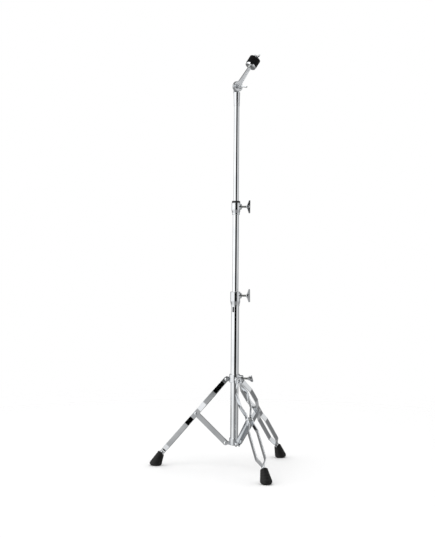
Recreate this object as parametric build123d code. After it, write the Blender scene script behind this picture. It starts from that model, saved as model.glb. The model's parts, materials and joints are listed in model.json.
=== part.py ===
from build123d import *
import os
from math import atan2, cos, degrees, hypot, radians, sin

os.makedirs("parts", exist_ok=True)

# A straight cymbal stand: three telescoping tubes on a double-braced tripod, with a tilter on top.
# Millimetres, +Z up. The origin is on the floor, under the centre line of the tubes.
# Leg 1 points along -X, legs 2 and 3 at -60 and +60 degrees, and the clamp bolts along +X.

# ---------------------------------------------------------------- driving sizes
# Tubes: outside diameter, wall, and where each ends
BASE_OD = 28.6
BASE_WALL = 1.5
MIDDLE_OD = 22.2
MIDDLE_WALL = 1.2
TOP_OD = 19.1
TOP_WALL = 1.2
BASE_BOTTOM = 86.0
BASE_TOP = 609.0
MIDDLE_OUT = 326.0  # top end of the middle tube above the top end of the base tube
MIDDLE_LENGTH = 455.0
TOP_OUT = 404.0  # top end of the top tube above the top end of the middle tube
TOP_LENGTH = 490.0
PLUG_FLANGE = 14.0  # guiding length of the plugs under the sliding tubes
PLUG_SPIGOT = 12.0
END_CAP = 2.0

# Tripod: the three pivots of each leg, as distances out from the base tube's wall and heights
LEG_AZIMUTHS = (180.0, -60.0, 60.0)
COLLAR_PIVOT_OUT = 15.7
COLLAR_PIVOT_HEIGHT = 322.0
KNEE_OUT = 125.7
KNEE_HEIGHT = 194.5
BRACE_PIVOT_OUT = 16.7
BRACE_PIVOT_HEIGHT = 91.5
LEG_END_HEIGHT = 23.0  # height of the leg's lower end, inside its rubber foot
RIVET_D = 6.0
RIVET_HEAD_D = 11.0
RIVET_HEAD = 2.4

# Leg strips: flat bars that bow apart twice between their pivots
STRIP_WIDTH = 18.0
STRIP_THICK = 3.0
STRIP_EDGE = 0.9
TOP_SPREAD = 6.6  # centre of a strip from the leg's plane, at the collar lug
UPPER_BOW = 20.5
KNEE_SPREAD = 8.55
LOWER_BOW = 16.5
BEND_RADIUS = 12.0

# Braces: pressed channels
BRACE_DEPTH = 17.0
BRACE_WALL = 1.6
BRACE_WEB_START = 14.0  # the web is cut away this far from the lower pivot, to clear the lug

# Rings that carry the legs
LEG_COLLAR_WALL = 2.5
LEG_COLLAR_HEIGHT = 30.0
LEG_COLLAR_LIFT = 3.0  # ring centre above its pivots
LEG_BOSS_PROUD = 11.7
LEG_BOSS_MARGIN = 10.0  # boss beyond its nut's flats
LINER_WALL = 1.5
BRACE_COLLAR_WALL = 3.7
BRACE_COLLAR_HEIGHT = 25.0
BRACE_COLLAR_LIFT = 6.0
LEG_LUG_END = 8.0  # radius of a lug round its rivet
BRACE_LUG_END = 5.5

# Height clamps: collars round the tube ends
LOWER_CLAMP_LENGTH = 52.0
LOWER_CLAMP_OVERLAP = 24.0  # how far the collar reaches down over its tube
LOWER_CLAMP_WALL = 3.5
UPPER_CLAMP_LENGTH = 43.0
UPPER_CLAMP_OVERLAP = 21.0
UPPER_CLAMP_WALL = 4.9
UPPER_RIM = 7.0  # the part of the bush that stands above the collar
CLAMP_NECK = 4.4  # how much narrower a clamp is at its lower end
BOSS_PROUD = 4.7
BOSS_MARGIN = 7.0  # boss beyond its nut's flats
CLAMP_BOLT_DROP = 14.0  # bolt centre below the collar's top face
BOLT_D = 7.8
NUT_MARGIN = 5.2  # flats of a nut, beyond its bolt
NUT_THICK = 5.0
NUT_COVER = 1.4
CLAMP_BOLT_LENGTH = 29.0
LEG_BOLT_LENGTH = 33.5
WING_SPAN = 47.0
WING_DEPTH = 13.0
WING_THICK = 5.5
WING_HUB_MARGIN = 5.2
LEG_WING_DEPTH = 16.0
LEG_WING_TURN = 60.0  # how far the leg bolt's wing is turned from upright

# Tilter
HINGE_ABOVE = 37.0  # hinge centre above the top tube's end
HINGE_AZIMUTH = -55.0
TILT = 33.5  # arm from upright
STEM_TOP_D = 23.5
STEM_BOTTOM_D = 20.6
STEM_OVERLAP = 34.0
STEM_RIVET_D = 3.2
STEM_RIVET_HEAD_D = 5.2
STEM_RIVET_PROUD = 0.9
STEM_RIVET_DROPS = (11.0, 25.0)  # below the top tube's end
EAR_D = 28.0
EAR_THICK = 9.0
FRICTION_DISC_THICK = 2.0
ARM_EYE_D = 38.0
ARM_THICK = 9.5
ARM_LENGTH = 85.0
ARM_ROOT_WIDTH = 16.0
ARM_TIP_WIDTH = 10.0
PANEL_START = 24.0  # sunk panel on each face of the arm
PANEL_STOP = 12.0  # short of the arm's end
PANEL_BORDER = 3.0
PANEL_DEPTH = 1.4
TILT_NUT_HUB_MARGIN = 8.2
TILT_NUT_SPAN = 49.0
TILT_NUT_REACH = 26.0
TILT_NUT_HUB_LENGTH = 11.0
TILT_NUT_TURN = 80.0  # how far the wings are turned from upright
TILT_BOLT_HEAD_D = 17.0
TILT_BOLT_HEAD = 5.0
TILT_BOLT_END = 24.0
WING_NUT_THICK = 4.0

# Cymbal seat, measured along the arm
ROD_D = 7.8
ROD_TOP = 141.5
ROD_GRIP = 10.0  # length of rod inside the arm
CUP_D = 40.0
CUP_DEPTH = 7.0
CUP_WALL = 1.5
SLEEVE_D = 12.0
FELT_D = 42.0
FELT_THICK = 15.5
TOP_NUT_SPAN = 29.0
TOP_NUT_REACH = 17.0
TOP_NUT_HUB_MARGIN = 6.2
TOP_NUT_HUB_LENGTH = 9.0
TOP_NUT_TURN = 15.0

# Rubber feet
FOOT_BASE_LONG = 46.0  # away from the tube
FOOT_BASE_WIDE = 41.0
FOOT_EDGE = 10.0
FOOT_BASE_HEIGHT = 12.0
FOOT_NECK_WIDTH = 26.0
FOOT_NECK_THICK = 26.0
FOOT_GRIP = 30.0  # length of leg inside the foot
FOOT_RIVET_D = 5.0
FOOT_RIVET_HEAD_D = 9.0
FOOT_RIVET_HEAD = 1.8
FOOT_RIVET_ABOVE = 6.5  # rivet above the foot's neck

# Blank label
LABEL_WIDTH = 7.0
LABEL_HEIGHT = 19.0
LABEL_AZIMUTH = -112.0
LABEL_THICK = 0.15
LABEL_BELOW = 36.0  # label centre below the base tube's top end

# ---------------------------------------------------------------- clearances
SLIDE_PLAY = 0.1  # radial, tubes in their bushes
PIN_PLAY = 0.05  # radial, rivets, bolts and nuts that turn
PLUG_PLAY = 0.2  # radial, end plugs in the next tube
BRACE_SIDE_PLAY = 0.25  # brace against the leg strips, and against its lug
FOLD_PLAY = 0.95  # radial, leg collar on the base tube
LOOSE_PIN_PLAY = 1.6  # radial, collar rivets in legs 2 and 3
LUG_SIDE_PLAY = 0.85  # collar lug against the strips
FACE_GAP = 0.3  # flat faces that turn or lift past each other

# ---------------------------------------------------------------- derived places
NUT_FLATS = BOLT_D + NUT_MARGIN
BOSS_D = NUT_FLATS + BOSS_MARGIN
LEG_BOSS_D = NUT_FLATS + LEG_BOSS_MARGIN
WING_HUB_D = BOLT_D + WING_HUB_MARGIN
TILT_NUT_HUB_D = BOLT_D + TILT_NUT_HUB_MARGIN
TOP_NUT_HUB_D = ROD_D + TOP_NUT_HUB_MARGIN
MIDDLE_TOP = BASE_TOP + MIDDLE_OUT
TOP_TOP = MIDDLE_TOP + TOP_OUT
HINGE_HEIGHT = TOP_TOP + HINGE_ABOVE
BASE_ID = BASE_OD - 2 * BASE_WALL
MIDDLE_ID = MIDDLE_OD - 2 * MIDDLE_WALL
TOP_ID = TOP_OD - 2 * TOP_WALL

COLLAR_PIVOT = (BASE_OD / 2 + COLLAR_PIVOT_OUT, COLLAR_PIVOT_HEIGHT)
KNEE_PIVOT = (BASE_OD / 2 + KNEE_OUT, KNEE_HEIGHT)
BRACE_PIVOT = (BASE_OD / 2 + BRACE_PIVOT_OUT, BRACE_PIVOT_HEIGHT)
LINER_OD = BASE_OD + 2 * (FOLD_PLAY + LINER_WALL)
LEG_COLLAR_OD = LINER_OD + 2 * LEG_COLLAR_WALL
BRACE_COLLAR_OD = BASE_OD + 2 * BRACE_COLLAR_WALL
LOWER_CLAMP_OD = BASE_OD + 2 * LOWER_CLAMP_WALL
UPPER_CLAMP_OD = MIDDLE_OD + 2 * UPPER_CLAMP_WALL
LEG_RUN = KNEE_PIVOT[0] - COLLAR_PIVOT[0]
LEG_DROP = COLLAR_PIVOT[1] - KNEE_PIVOT[1]
LEG_ANGLE = degrees(atan2(LEG_RUN, LEG_DROP))
COLLAR_TO_KNEE = hypot(LEG_RUN, LEG_DROP)
LEG_LENGTH = (COLLAR_PIVOT[1] - LEG_END_HEIGHT) / cos(radians(LEG_ANGLE))
SOLE_RADIUS = COLLAR_PIVOT[0] + LEG_LENGTH * sin(radians(LEG_ANGLE))
BRACE_RUN = KNEE_PIVOT[0] - BRACE_PIVOT[0]
BRACE_RISE = KNEE_PIVOT[1] - BRACE_PIVOT[1]
BRACE_ANGLE = degrees(atan2(BRACE_RUN, BRACE_RISE))
BRACE_LENGTH = hypot(BRACE_RUN, BRACE_RISE)
BRACE_WIDTH = 2 * (KNEE_SPREAD - STRIP_THICK / 2 - BRACE_SIDE_PLAY)
BRACE_INSIDE = BRACE_WIDTH - 2 * BRACE_WALL
LEG_COLLAR_Z = COLLAR_PIVOT[1] + LEG_COLLAR_LIFT
BRACE_COLLAR_Z = BRACE_PIVOT[1] + BRACE_COLLAR_LIFT
LEG_LUG_THICK = 2 * (TOP_SPREAD - STRIP_THICK / 2 - LUG_SIDE_PLAY)
BRACE_LUG_THICK = BRACE_INSIDE - 2 * BRACE_SIDE_PLAY
FOOT_RIVET_AT = LEG_LENGTH - FOOT_GRIP - FOOT_RIVET_ABOVE

FRICTION_DISC_FRONT = FRICTION_DISC_THICK / 2
ARM_BACK = FRICTION_DISC_FRONT + PIN_PLAY * 2
ARM_FRONT = ARM_BACK + ARM_THICK
ARM_MID = (ARM_BACK + ARM_FRONT) / 2
EAR_BACK = -FRICTION_DISC_FRONT - EAR_THICK
SEAT_NUT_TOP = ARM_LENGTH + NUT_THICK
CUP_RIM = SEAT_NUT_TOP + CUP_DEPTH
LOWER_FELT_TOP = CUP_RIM + FELT_THICK
UPPER_FELT_BOTTOM = LOWER_FELT_TOP + FACE_GAP
UPPER_FELT_TOP = UPPER_FELT_BOTTOM + FELT_THICK
STEM_RIVET_SEAT = STEM_BOTTOM_D / 2 - 0.3


# ---------------------------------------------------------------- shapes used more than once
def upright(radius, bottom, top):
    """Solid cylinder on the tubes' centre line."""
    return Pos(0, 0, (bottom + top) / 2) * Cylinder(radius, top - bottom)


def level(radius, start, end):
    """Solid cylinder along +X from start to end."""
    return Pos((start + end) / 2, 0, 0) * Rot(0, 90, 0) * Cylinder(radius, end - start)


def across(radius, start, end):
    """Solid cylinder along a frame's own Z axis from start to end."""
    return Pos(0, 0, (start + end) / 2) * Cylinder(radius, end - start)


def hexagon(flats, start, end):
    """Hexagonal prism along +X with two flats upright."""
    face = RegularPolygon(flats / 2 / cos(radians(30.0)), 6)
    return Pos(start, 0, 0) * Rot(0, 90, 0) * extrude(face, end - start)


def turned(points):
    """Body of revolution about Z from (radius, height) points."""
    outline = Polyline(*[(radius, 0, height) for radius, height in points], close=True)
    return revolve(make_face(outline), Axis.Z)


def plate(points, thick, corner):
    """Flat plate in the XZ plane, centred on Y, with rounded outline corners."""
    face = make_face(Polyline(*[(x, 0, z) for x, z in points], close=True))
    face = fillet(face.vertices(), corner)
    return extrude(face, thick / 2, dir=(0, 1, 0), both=True)


def leg_plane(azimuth):
    """Frame of one leg: X outwards, Y up, Z across the leg."""
    a = radians(azimuth)
    return Plane(origin=(0, 0, 0), x_dir=(cos(a), sin(a), 0), z_dir=(sin(a), -cos(a), 0))


def bar_frame(azimuth, pivot, angle):
    """Frame of a bar that leaves its pivot at an angle from straight up: X runs along the bar."""
    base = leg_plane(azimuth)
    run = Vector(base.x_dir) * sin(radians(angle)) + Vector(0, 0, 1) * cos(radians(angle))
    origin = Vector(base.x_dir) * pivot[0] + Vector(0, 0, 1) * pivot[1]
    return Plane(origin=origin, x_dir=run, z_dir=base.z_dir)


def rivet(half_grip, radius, head_radius, head):
    """Rivet along the frame's Z axis with a low head at both ends."""
    pin = across(radius, -half_grip - 0.1, half_grip + 0.1)
    for side in (-1, 1):
        cap = Pos(0, 0, side * (half_grip + head / 2)) * Cylinder(head_radius, head)
        outer = cap.edges().group_by(Axis.Z)[-1 if side > 0 else 0]
        pin += fillet(outer, head * 0.7)
    return pin


def save(name, *solids):
    """Write one node, as one solid or as a group of like solids."""
    if len(solids) == 1:
        export_step(solids[0], f"parts/{name}.step")
    else:
        export_step(Compound([piece for solid in solids for piece in solid.solids()]), f"parts/{name}.step")


# ---------------------------------------------------------------- tubes and their plugs
def tube(od, wall, bottom, top):
    return upright(od / 2, bottom, top) - upright(od / 2 - wall, bottom - 1, top + 1)


def sliding_plug(inner_d, outer_d, tube_end):
    """End plug that guides a tube inside the next one: a flange below it and a spigot in its bore."""
    flange_r = outer_d / 2 - PLUG_PLAY
    spigot_r = inner_d / 2 - PLUG_PLAY
    flange_top = tube_end - FACE_GAP
    return upright(flange_r, flange_top - PLUG_FLANGE, flange_top) + upright(
        spigot_r, flange_top - 1.0, tube_end + PLUG_SPIGOT)


MIDDLE_BOTTOM = MIDDLE_TOP - MIDDLE_LENGTH
TOP_BOTTOM = TOP_TOP - TOP_LENGTH
save("base_tube", tube(BASE_OD, BASE_WALL, BASE_BOTTOM, BASE_TOP))
save("middle_tube", tube(MIDDLE_OD, MIDDLE_WALL, MIDDLE_BOTTOM, MIDDLE_TOP))
save("top_tube", tube(TOP_OD, TOP_WALL, TOP_BOTTOM, TOP_TOP))
save("base_tube_plug", upright(BASE_OD / 2 - 0.4, BASE_BOTTOM - END_CAP, BASE_BOTTOM)
     + upright(BASE_ID / 2, BASE_BOTTOM - END_CAP / 2, BASE_BOTTOM + PLUG_SPIGOT))
save("middle_tube_plug", sliding_plug(MIDDLE_ID, BASE_ID, MIDDLE_BOTTOM))
save("top_tube_plug", sliding_plug(TOP_ID, MIDDLE_ID, TOP_BOTTOM))


def blank_label():
    """Thin blank sticker that follows the base tube's wall."""
    height = BASE_TOP - LABEL_BELOW
    film = tube(BASE_OD + 2 * LABEL_THICK, LABEL_THICK, height - LABEL_HEIGHT / 2, height + LABEL_HEIGHT / 2)
    keep = Pos(BASE_OD / 2, 0, height) * Box(10.0, LABEL_WIDTH, LABEL_HEIGHT * 2)
    return Rot(0, 0, LABEL_AZIMUTH) * (film & keep)


save("blank_label", blank_label())


# ---------------------------------------------------------------- height clamps
def threaded_nut(outer_face):
    """Captive nut whose outer flat face is at the given distance from the centre line."""
    return hexagon(NUT_FLATS, outer_face - NUT_THICK, outer_face) - level(
        BOLT_D / 2 + PIN_PLAY, outer_face - NUT_THICK - 1, outer_face + 1)


def clamp_collar(tube_d, collar_d, bottom, length, bolt_z):
    """Collar with a narrower lower end and a boss that holds the nut."""
    top = bottom + length
    bore = tube_d / 2
    outer = collar_d / 2
    neck = outer - CLAMP_NECK / 2
    collar = turned([(bore, bottom), (neck - 0.8, bottom), (neck, bottom + 0.8), (neck, bottom + 6.0),
                     (outer, bottom + 16.0), (outer, top - 1.0), (outer - 1.0, top), (bore, top)])
    boss_end = outer + BOSS_PROUD
    boss = Pos(0, 0, bolt_z) * level(BOSS_D / 2, 0, boss_end)
    boss = chamfer(boss.edges().group_by(Axis.X)[-1], 1.2)
    collar += boss - upright(bore, bottom - 1, top + 1)
    nut_face = boss_end - NUT_COVER
    collar -= Pos(0, 0, bolt_z) * hexagon(NUT_FLATS + 0.2, 0, nut_face + 0.05)
    collar -= Pos(0, 0, bolt_z) * level(BOLT_D / 2 + 0.3, 0, boss_end + 1)
    return collar


def clamp_bush(bore_d, seat_d, bottom, top, rim, rim_d, bolt_z):
    """Plastic bush on a tube's end, with a hole for the bolt and a rim above the collar."""
    bush = upright(seat_d / 2, bottom, top)
    if rim > 0:
        ring = upright(rim_d / 2, top, top + rim)
        bush += fillet(ring.edges().group_by(Axis.Z)[-1], 1.2)
    bush -= upright(bore_d / 2 + SLIDE_PLAY, bottom - 1, top + rim + 1)
    return bush - Pos(0, 0, bolt_z) * level(BOLT_D / 2 + 0.3, 0, seat_d)


def wing_head(start, span, depth, thick, hub_d):
    """T-shaped wing on a turned hub. The head's axis is +X and the wing stands along Z."""
    half = span / 2
    waist = hub_d / 2 - 0.6
    upper = [(start, waist), (start + 0.3 * depth, waist + 1.2), (start + 0.6 * depth, half - 4.0),
             (start + 0.72 * depth, half), (start + depth, half), (start + 0.88 * depth, waist)]
    lower = [(x, -z) for x, z in reversed(upper)]
    wing = plate(upper + lower, thick, 1.2)
    hub = Pos(start + 0.4 * depth, 0, 0) * Rot(0, 90, 0) * Cone(hub_d / 2, hub_d / 2 - 1.5, 0.8 * depth)
    return wing + hub


def wing_bolt(tip, length, depth, turn):
    """Bolt with a wing head, screwed in from +X with its tip next to the tube."""
    bolt = level(BOLT_D / 2, tip, tip + length + 1.0)
    bolt = chamfer(bolt.edges().group_by(Axis.X)[0], 0.8)
    return Rot(turn, 0, 0) * (bolt + wing_head(tip + length, WING_SPAN, depth, WING_THICK, WING_HUB_D))


def height_clamp(place, tube_d, inner_d, tube_end, overlap, length, collar_d, rim, turn):
    """One clamp: collar, bush, nut and wing bolt round the end of a tube."""
    bottom = tube_end - overlap
    top = bottom + length
    bolt_z = top - CLAMP_BOLT_DROP
    boss_end = collar_d / 2 + BOSS_PROUD
    tip = inner_d / 2 + FACE_GAP
    save(f"{place}_clamp_collar", clamp_collar(tube_d, collar_d, bottom, length, bolt_z))
    save(f"{place}_clamp_bush", clamp_bush(inner_d, tube_d, tube_end, top, rim, collar_d - 1.6, bolt_z))
    save(f"{place}_clamp_nut", Pos(0, 0, bolt_z) * threaded_nut(boss_end - NUT_COVER))
    save(f"{place}_clamp_bolt", Pos(0, 0, bolt_z) * wing_bolt(tip, CLAMP_BOLT_LENGTH, WING_DEPTH, turn))
    return bolt_z


LOWER_BOLT_Z = height_clamp("lower", BASE_OD, MIDDLE_OD, BASE_TOP, LOWER_CLAMP_OVERLAP,
                            LOWER_CLAMP_LENGTH, LOWER_CLAMP_OD, 0.0, 8.0)
UPPER_BOLT_Z = height_clamp("upper", MIDDLE_OD, TOP_OD, MIDDLE_TOP, UPPER_CLAMP_OVERLAP,
                            UPPER_CLAMP_LENGTH, UPPER_CLAMP_OD, UPPER_RIM, -6.0)


# ---------------------------------------------------------------- rings that carry the legs
def lugs(pivot, ring_d, thick, end_radius):
    """Three plates that stand out from a ring to the leg pivots."""
    result = []
    for azimuth in LEG_AZIMUTHS:
        root = ring_d / 2 - 2.0
        web = Pos((root + pivot[0]) / 2, pivot[1], 0) * Box(pivot[0] - root, 2 * end_radius, thick)
        web += Pos(pivot[0], pivot[1], 0) * Cylinder(end_radius, thick)
        result.append(leg_plane(azimuth) * web)
    return result


def pivot_holes(pivot, radius):
    """Holes through the lugs for the rivets."""
    return [leg_plane(azimuth) * Pos(pivot[0], pivot[1], 0) * Cylinder(radius, 60.0) for azimuth in LEG_AZIMUTHS]


def leg_collar():
    """Ring that slides on the base tube, with three lugs and a boss for the wing bolt."""
    bottom = LEG_COLLAR_Z - LEG_COLLAR_HEIGHT / 2
    top = LEG_COLLAR_Z + LEG_COLLAR_HEIGHT / 2
    outer = LEG_COLLAR_OD / 2
    boss_end = outer + LEG_BOSS_PROUD
    ring = upright(outer, bottom, top)
    ring = fillet(ring.edges(), 1.2)
    for lug in lugs(COLLAR_PIVOT, LEG_COLLAR_OD, LEG_LUG_THICK, LEG_LUG_END):
        ring += lug
    boss = Pos(0, 0, LEG_COLLAR_Z) * level(LEG_BOSS_D / 2, 0, boss_end)
    ring += chamfer(boss.edges().group_by(Axis.X)[-1], 1.5)
    ring -= upright(LINER_OD / 2, bottom - 1, top + 1)
    for hole in pivot_holes(COLLAR_PIVOT, RIVET_D / 2):
        ring -= hole
    ring -= Pos(0, 0, LEG_COLLAR_Z) * hexagon(NUT_FLATS + 0.2, 0, boss_end - NUT_COVER + 0.05)
    ring -= Pos(0, 0, LEG_COLLAR_Z) * level(BOLT_D / 2 + 0.3, 0, boss_end + 1)
    return ring


def leg_collar_liner():
    """Plastic sleeve inside the sliding ring."""
    bottom = LEG_COLLAR_Z - LEG_COLLAR_HEIGHT / 2
    top = LEG_COLLAR_Z + LEG_COLLAR_HEIGHT / 2
    liner = tube(LINER_OD, LINER_WALL, bottom, top)
    return liner - Pos(0, 0, LEG_COLLAR_Z) * level(BOLT_D / 2 + 0.3, 0, LEG_COLLAR_OD)


def brace_collar():
    """Ring fixed round the lower end of the base tube, with a lug for each brace."""
    bottom = BRACE_COLLAR_Z - BRACE_COLLAR_HEIGHT / 2
    top = BRACE_COLLAR_Z + BRACE_COLLAR_HEIGHT / 2
    ring = upright(BRACE_COLLAR_OD / 2, bottom, top)
    ring = fillet(ring.edges(), 1.2)
    for lug in lugs(BRACE_PIVOT, BRACE_COLLAR_OD, BRACE_LUG_THICK, BRACE_LUG_END):
        ring += lug
    ring -= upright(BASE_OD / 2, bottom - 1, top + 1)
    for hole in pivot_holes(BRACE_PIVOT, RIVET_D / 2):
        ring -= hole
    return ring


save("leg_collar", leg_collar())
save("leg_collar_liner", leg_collar_liner())
save("leg_collar_nut", Pos(0, 0, LEG_COLLAR_Z) * threaded_nut(LEG_COLLAR_OD / 2 + LEG_BOSS_PROUD - NUT_COVER))
save("leg_collar_bolt", Pos(0, 0, LEG_COLLAR_Z)
     * wing_bolt(BASE_OD / 2 + FOLD_PLAY + 0.15, LEG_BOLT_LENGTH, LEG_WING_DEPTH, LEG_WING_TURN))
save("brace_collar", brace_collar())

collar_rivets = []
brace_rivets = []
for azimuth in LEG_AZIMUTHS:
    at_collar = leg_plane(azimuth) * Pos(COLLAR_PIVOT[0], COLLAR_PIVOT[1], 0)
    at_brace = leg_plane(azimuth) * Pos(BRACE_PIVOT[0], BRACE_PIVOT[1], 0)
    collar_grip = TOP_SPREAD + STRIP_THICK / 2 + LUG_SIDE_PLAY
    brace_grip = BRACE_WIDTH / 2 + PIN_PLAY
    collar_rivets.append(at_collar * rivet(collar_grip, RIVET_D / 2, RIVET_HEAD_D / 2, RIVET_HEAD))
    brace_rivets.append(at_brace * rivet(brace_grip, RIVET_D / 2, RIVET_HEAD_D / 2, RIVET_HEAD))
save("leg_collar_rivets", *collar_rivets)
save("brace_collar_rivets", *brace_rivets)


# ---------------------------------------------------------------- legs and braces
def leg_strip(side, top_hole):
    """One bowed strip in the leg's own frame: X down the leg from its top pivot, Z across."""
    knee = COLLAR_TO_KNEE
    end = LEG_LENGTH
    foot = STRIP_THICK / 2
    neck = end - FOOT_GRIP
    centre = [(-STRIP_WIDTH / 2, TOP_SPREAD), (18.0, TOP_SPREAD), (60.0, UPPER_BOW), (knee - 53.0, UPPER_BOW),
              (knee - 19.0, KNEE_SPREAD), (knee + 22.0, KNEE_SPREAD), (knee + 48.0, LOWER_BOW),
              (neck - 40.0, LOWER_BOW), (neck - 14.0, foot), (end, foot)]
    path = FilletPolyline(*[(along, 0, side * out) for along, out in centre], radius=BEND_RADIUS)
    section = Plane(origin=path @ 0, x_dir=(0, 1, 0), z_dir=(1, 0, 0)) * RectangleRounded(
        STRIP_WIDTH, STRIP_THICK, STRIP_EDGE)
    strip = sweep(section, path=path)
    trim = Cylinder(STRIP_WIDTH / 2, 80.0) + Pos(end / 2, 0, 0) * Box(end, STRIP_WIDTH + 1.0, 80.0)
    strip = strip & trim
    strip -= Cylinder(top_hole, 80.0)
    strip -= Pos(knee, 0, 0) * Cylinder(RIVET_D / 2, 80.0)
    return strip - Pos(FOOT_RIVET_AT, 0, 0) * Cylinder(FOOT_RIVET_D / 2, 80.0)


def brace():
    """Channel in its own frame: X up the brace from its lower pivot, web on the side of +Y."""
    half = BRACE_DEPTH / 2
    outline = SlotCenterToCenter(BRACE_LENGTH, BRACE_DEPTH)
    bar = Pos(BRACE_LENGTH / 2, 0, -BRACE_WIDTH / 2) * extrude(outline, BRACE_WIDTH)
    bar -= Pos(BRACE_LENGTH / 2, -BRACE_WALL, 0) * Box(BRACE_LENGTH * 2, BRACE_DEPTH, BRACE_INSIDE)
    bar -= Pos(0, half, 0) * Box(2 * BRACE_WEB_START, BRACE_DEPTH, BRACE_INSIDE)
    return bar - Cylinder(RIVET_D / 2 + PIN_PLAY, 40.0) - Pos(BRACE_LENGTH, 0, 0) * Cylinder(
        RIVET_D / 2 + PIN_PLAY, 40.0)


def rubber_foot(azimuth):
    """Foot with a flat sole and a neck that follows the leg."""
    at_end = bar_frame(azimuth, COLLAR_PIVOT, 180.0 - LEG_ANGLE)
    outline = Ellipse(FOOT_BASE_LONG / 2, FOOT_BASE_WIDE / 2)
    base = extrude(outline, FOOT_BASE_HEIGHT)
    base = fillet(base.edges().group_by(Axis.Z)[0], FOOT_EDGE)
    base = Rot(0, 0, azimuth) * Pos(SOLE_RADIUS, 0, 0) * base
    neck_plane = Plane(origin=at_end.from_local_coords((LEG_LENGTH - FOOT_GRIP, 0, 0)),
                       x_dir=at_end.y_dir, z_dir=at_end.x_dir)
    neck = neck_plane * Ellipse(FOOT_NECK_WIDTH / 2, FOOT_NECK_THICK / 2)
    belly = Rot(0, 0, azimuth) * Pos(SOLE_RADIUS, 0, FOOT_BASE_HEIGHT) * Rot(180, 0, 0) * outline
    foot = base + loft([neck, belly])
    grip = Pos(LEG_LENGTH - FOOT_GRIP, 0, 0) * Box(2 * FOOT_GRIP, STRIP_WIDTH, 2 * STRIP_THICK)
    return foot - at_end * grip


for number, azimuth in enumerate(LEG_AZIMUTHS, start=1):
    leg = bar_frame(azimuth, COLLAR_PIVOT, 180.0 - LEG_ANGLE)
    play = PIN_PLAY if number == 1 else LOOSE_PIN_PLAY
    for side_name, side in (("left", 1), ("right", -1)):
        save(f"leg_{number}_{side_name}_strip", leg * leg_strip(side, RIVET_D / 2 + play))
    save(f"brace_{number}", bar_frame(azimuth, BRACE_PIVOT, BRACE_ANGLE) * brace())
    knee = leg * Pos(COLLAR_TO_KNEE, 0, 0)
    save(f"leg_{number}_knee_rivet", knee * rivet(KNEE_SPREAD + STRIP_THICK / 2, RIVET_D / 2,
                                                  RIVET_HEAD_D / 2, RIVET_HEAD))
    spacer_half = BRACE_INSIDE / 2 - PIN_PLAY
    spacer = across(5.0, -spacer_half, spacer_half) - across(RIVET_D / 2, -10.0, 10.0)
    save(f"leg_{number}_knee_spacer", knee * spacer)
    save(f"leg_{number}_foot_rivet", leg * Pos(FOOT_RIVET_AT, 0, 0)
         * rivet(STRIP_THICK, FOOT_RIVET_D / 2, FOOT_RIVET_HEAD_D / 2, FOOT_RIVET_HEAD))
    save(f"rubber_foot_{number}", rubber_foot(azimuth))


# ---------------------------------------------------------------- tilter
hinge = radians(HINGE_AZIMUTH)
HINGE_AXIS = (cos(hinge), sin(hinge), 0)
TILT_WAY = Vector(-sin(hinge), cos(hinge), 0)
ARM_WAY = TILT_WAY * sin(radians(TILT)) + Vector(0, 0, 1) * cos(radians(TILT))
upright_frame = Plane(origin=(0, 0, HINGE_HEIGHT), x_dir=(0, 0, 1), z_dir=HINGE_AXIS)
arm_frame = Plane(origin=(0, 0, HINGE_HEIGHT), x_dir=ARM_WAY, z_dir=HINGE_AXIS)


def tilter_base():
    """Turned socket pressed on the top tube, with one ear beside the centre line."""
    bottom = TOP_TOP - STEM_OVERLAP
    top = HINGE_HEIGHT - ARM_EYE_D / 2 - 1.5
    socket = turned([(0, bottom), (STEM_BOTTOM_D / 2 - 0.8, bottom), (STEM_BOTTOM_D / 2, bottom + 0.8),
                     (STEM_TOP_D / 2, top - 1.2), (STEM_TOP_D / 2 - 1.2, top), (0, top)])
    middle = (EAR_BACK - FRICTION_DISC_FRONT) / 2
    ear = Pos(0, 0, middle) * Cylinder(EAR_D / 2, EAR_THICK)
    reach = HINGE_HEIGHT - top + 1.0
    cheek = Pos(-reach / 2, 0, middle) * Box(reach, 0.72 * EAR_D, EAR_THICK)
    socket += upright_frame * (ear + cheek)
    socket -= upright_frame * across(BOLT_D / 2, EAR_BACK - 1, 1)
    socket -= upright(TOP_OD / 2, bottom - 1, TOP_TOP)
    for drop in STEM_RIVET_DROPS:
        socket -= stem_rivet_frame(drop) * across(STEM_RIVET_D / 2, 0, STEM_TOP_D)
        socket -= stem_rivet_frame(drop) * across(STEM_RIVET_HEAD_D / 2, STEM_RIVET_SEAT, STEM_TOP_D)
    return socket


def stem_rivet_frame(drop):
    return Plane(origin=(0, 0, TOP_TOP - drop), x_dir=(0, 0, 1), z_dir=HINGE_AXIS)


def stem_rivet(drop):
    """Short rivet that pins the socket to the top tube."""
    head_top = STEM_TOP_D / 2 + STEM_RIVET_PROUD
    pin = across(STEM_RIVET_D / 2, TOP_OD / 2, STEM_RIVET_SEAT)
    head = across(STEM_RIVET_HEAD_D / 2, STEM_RIVET_SEAT, head_top)
    head = fillet(head.edges().group_by(Axis.Z)[-1], STEM_RIVET_PROUD)
    return stem_rivet_frame(drop) * (pin + head)


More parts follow.
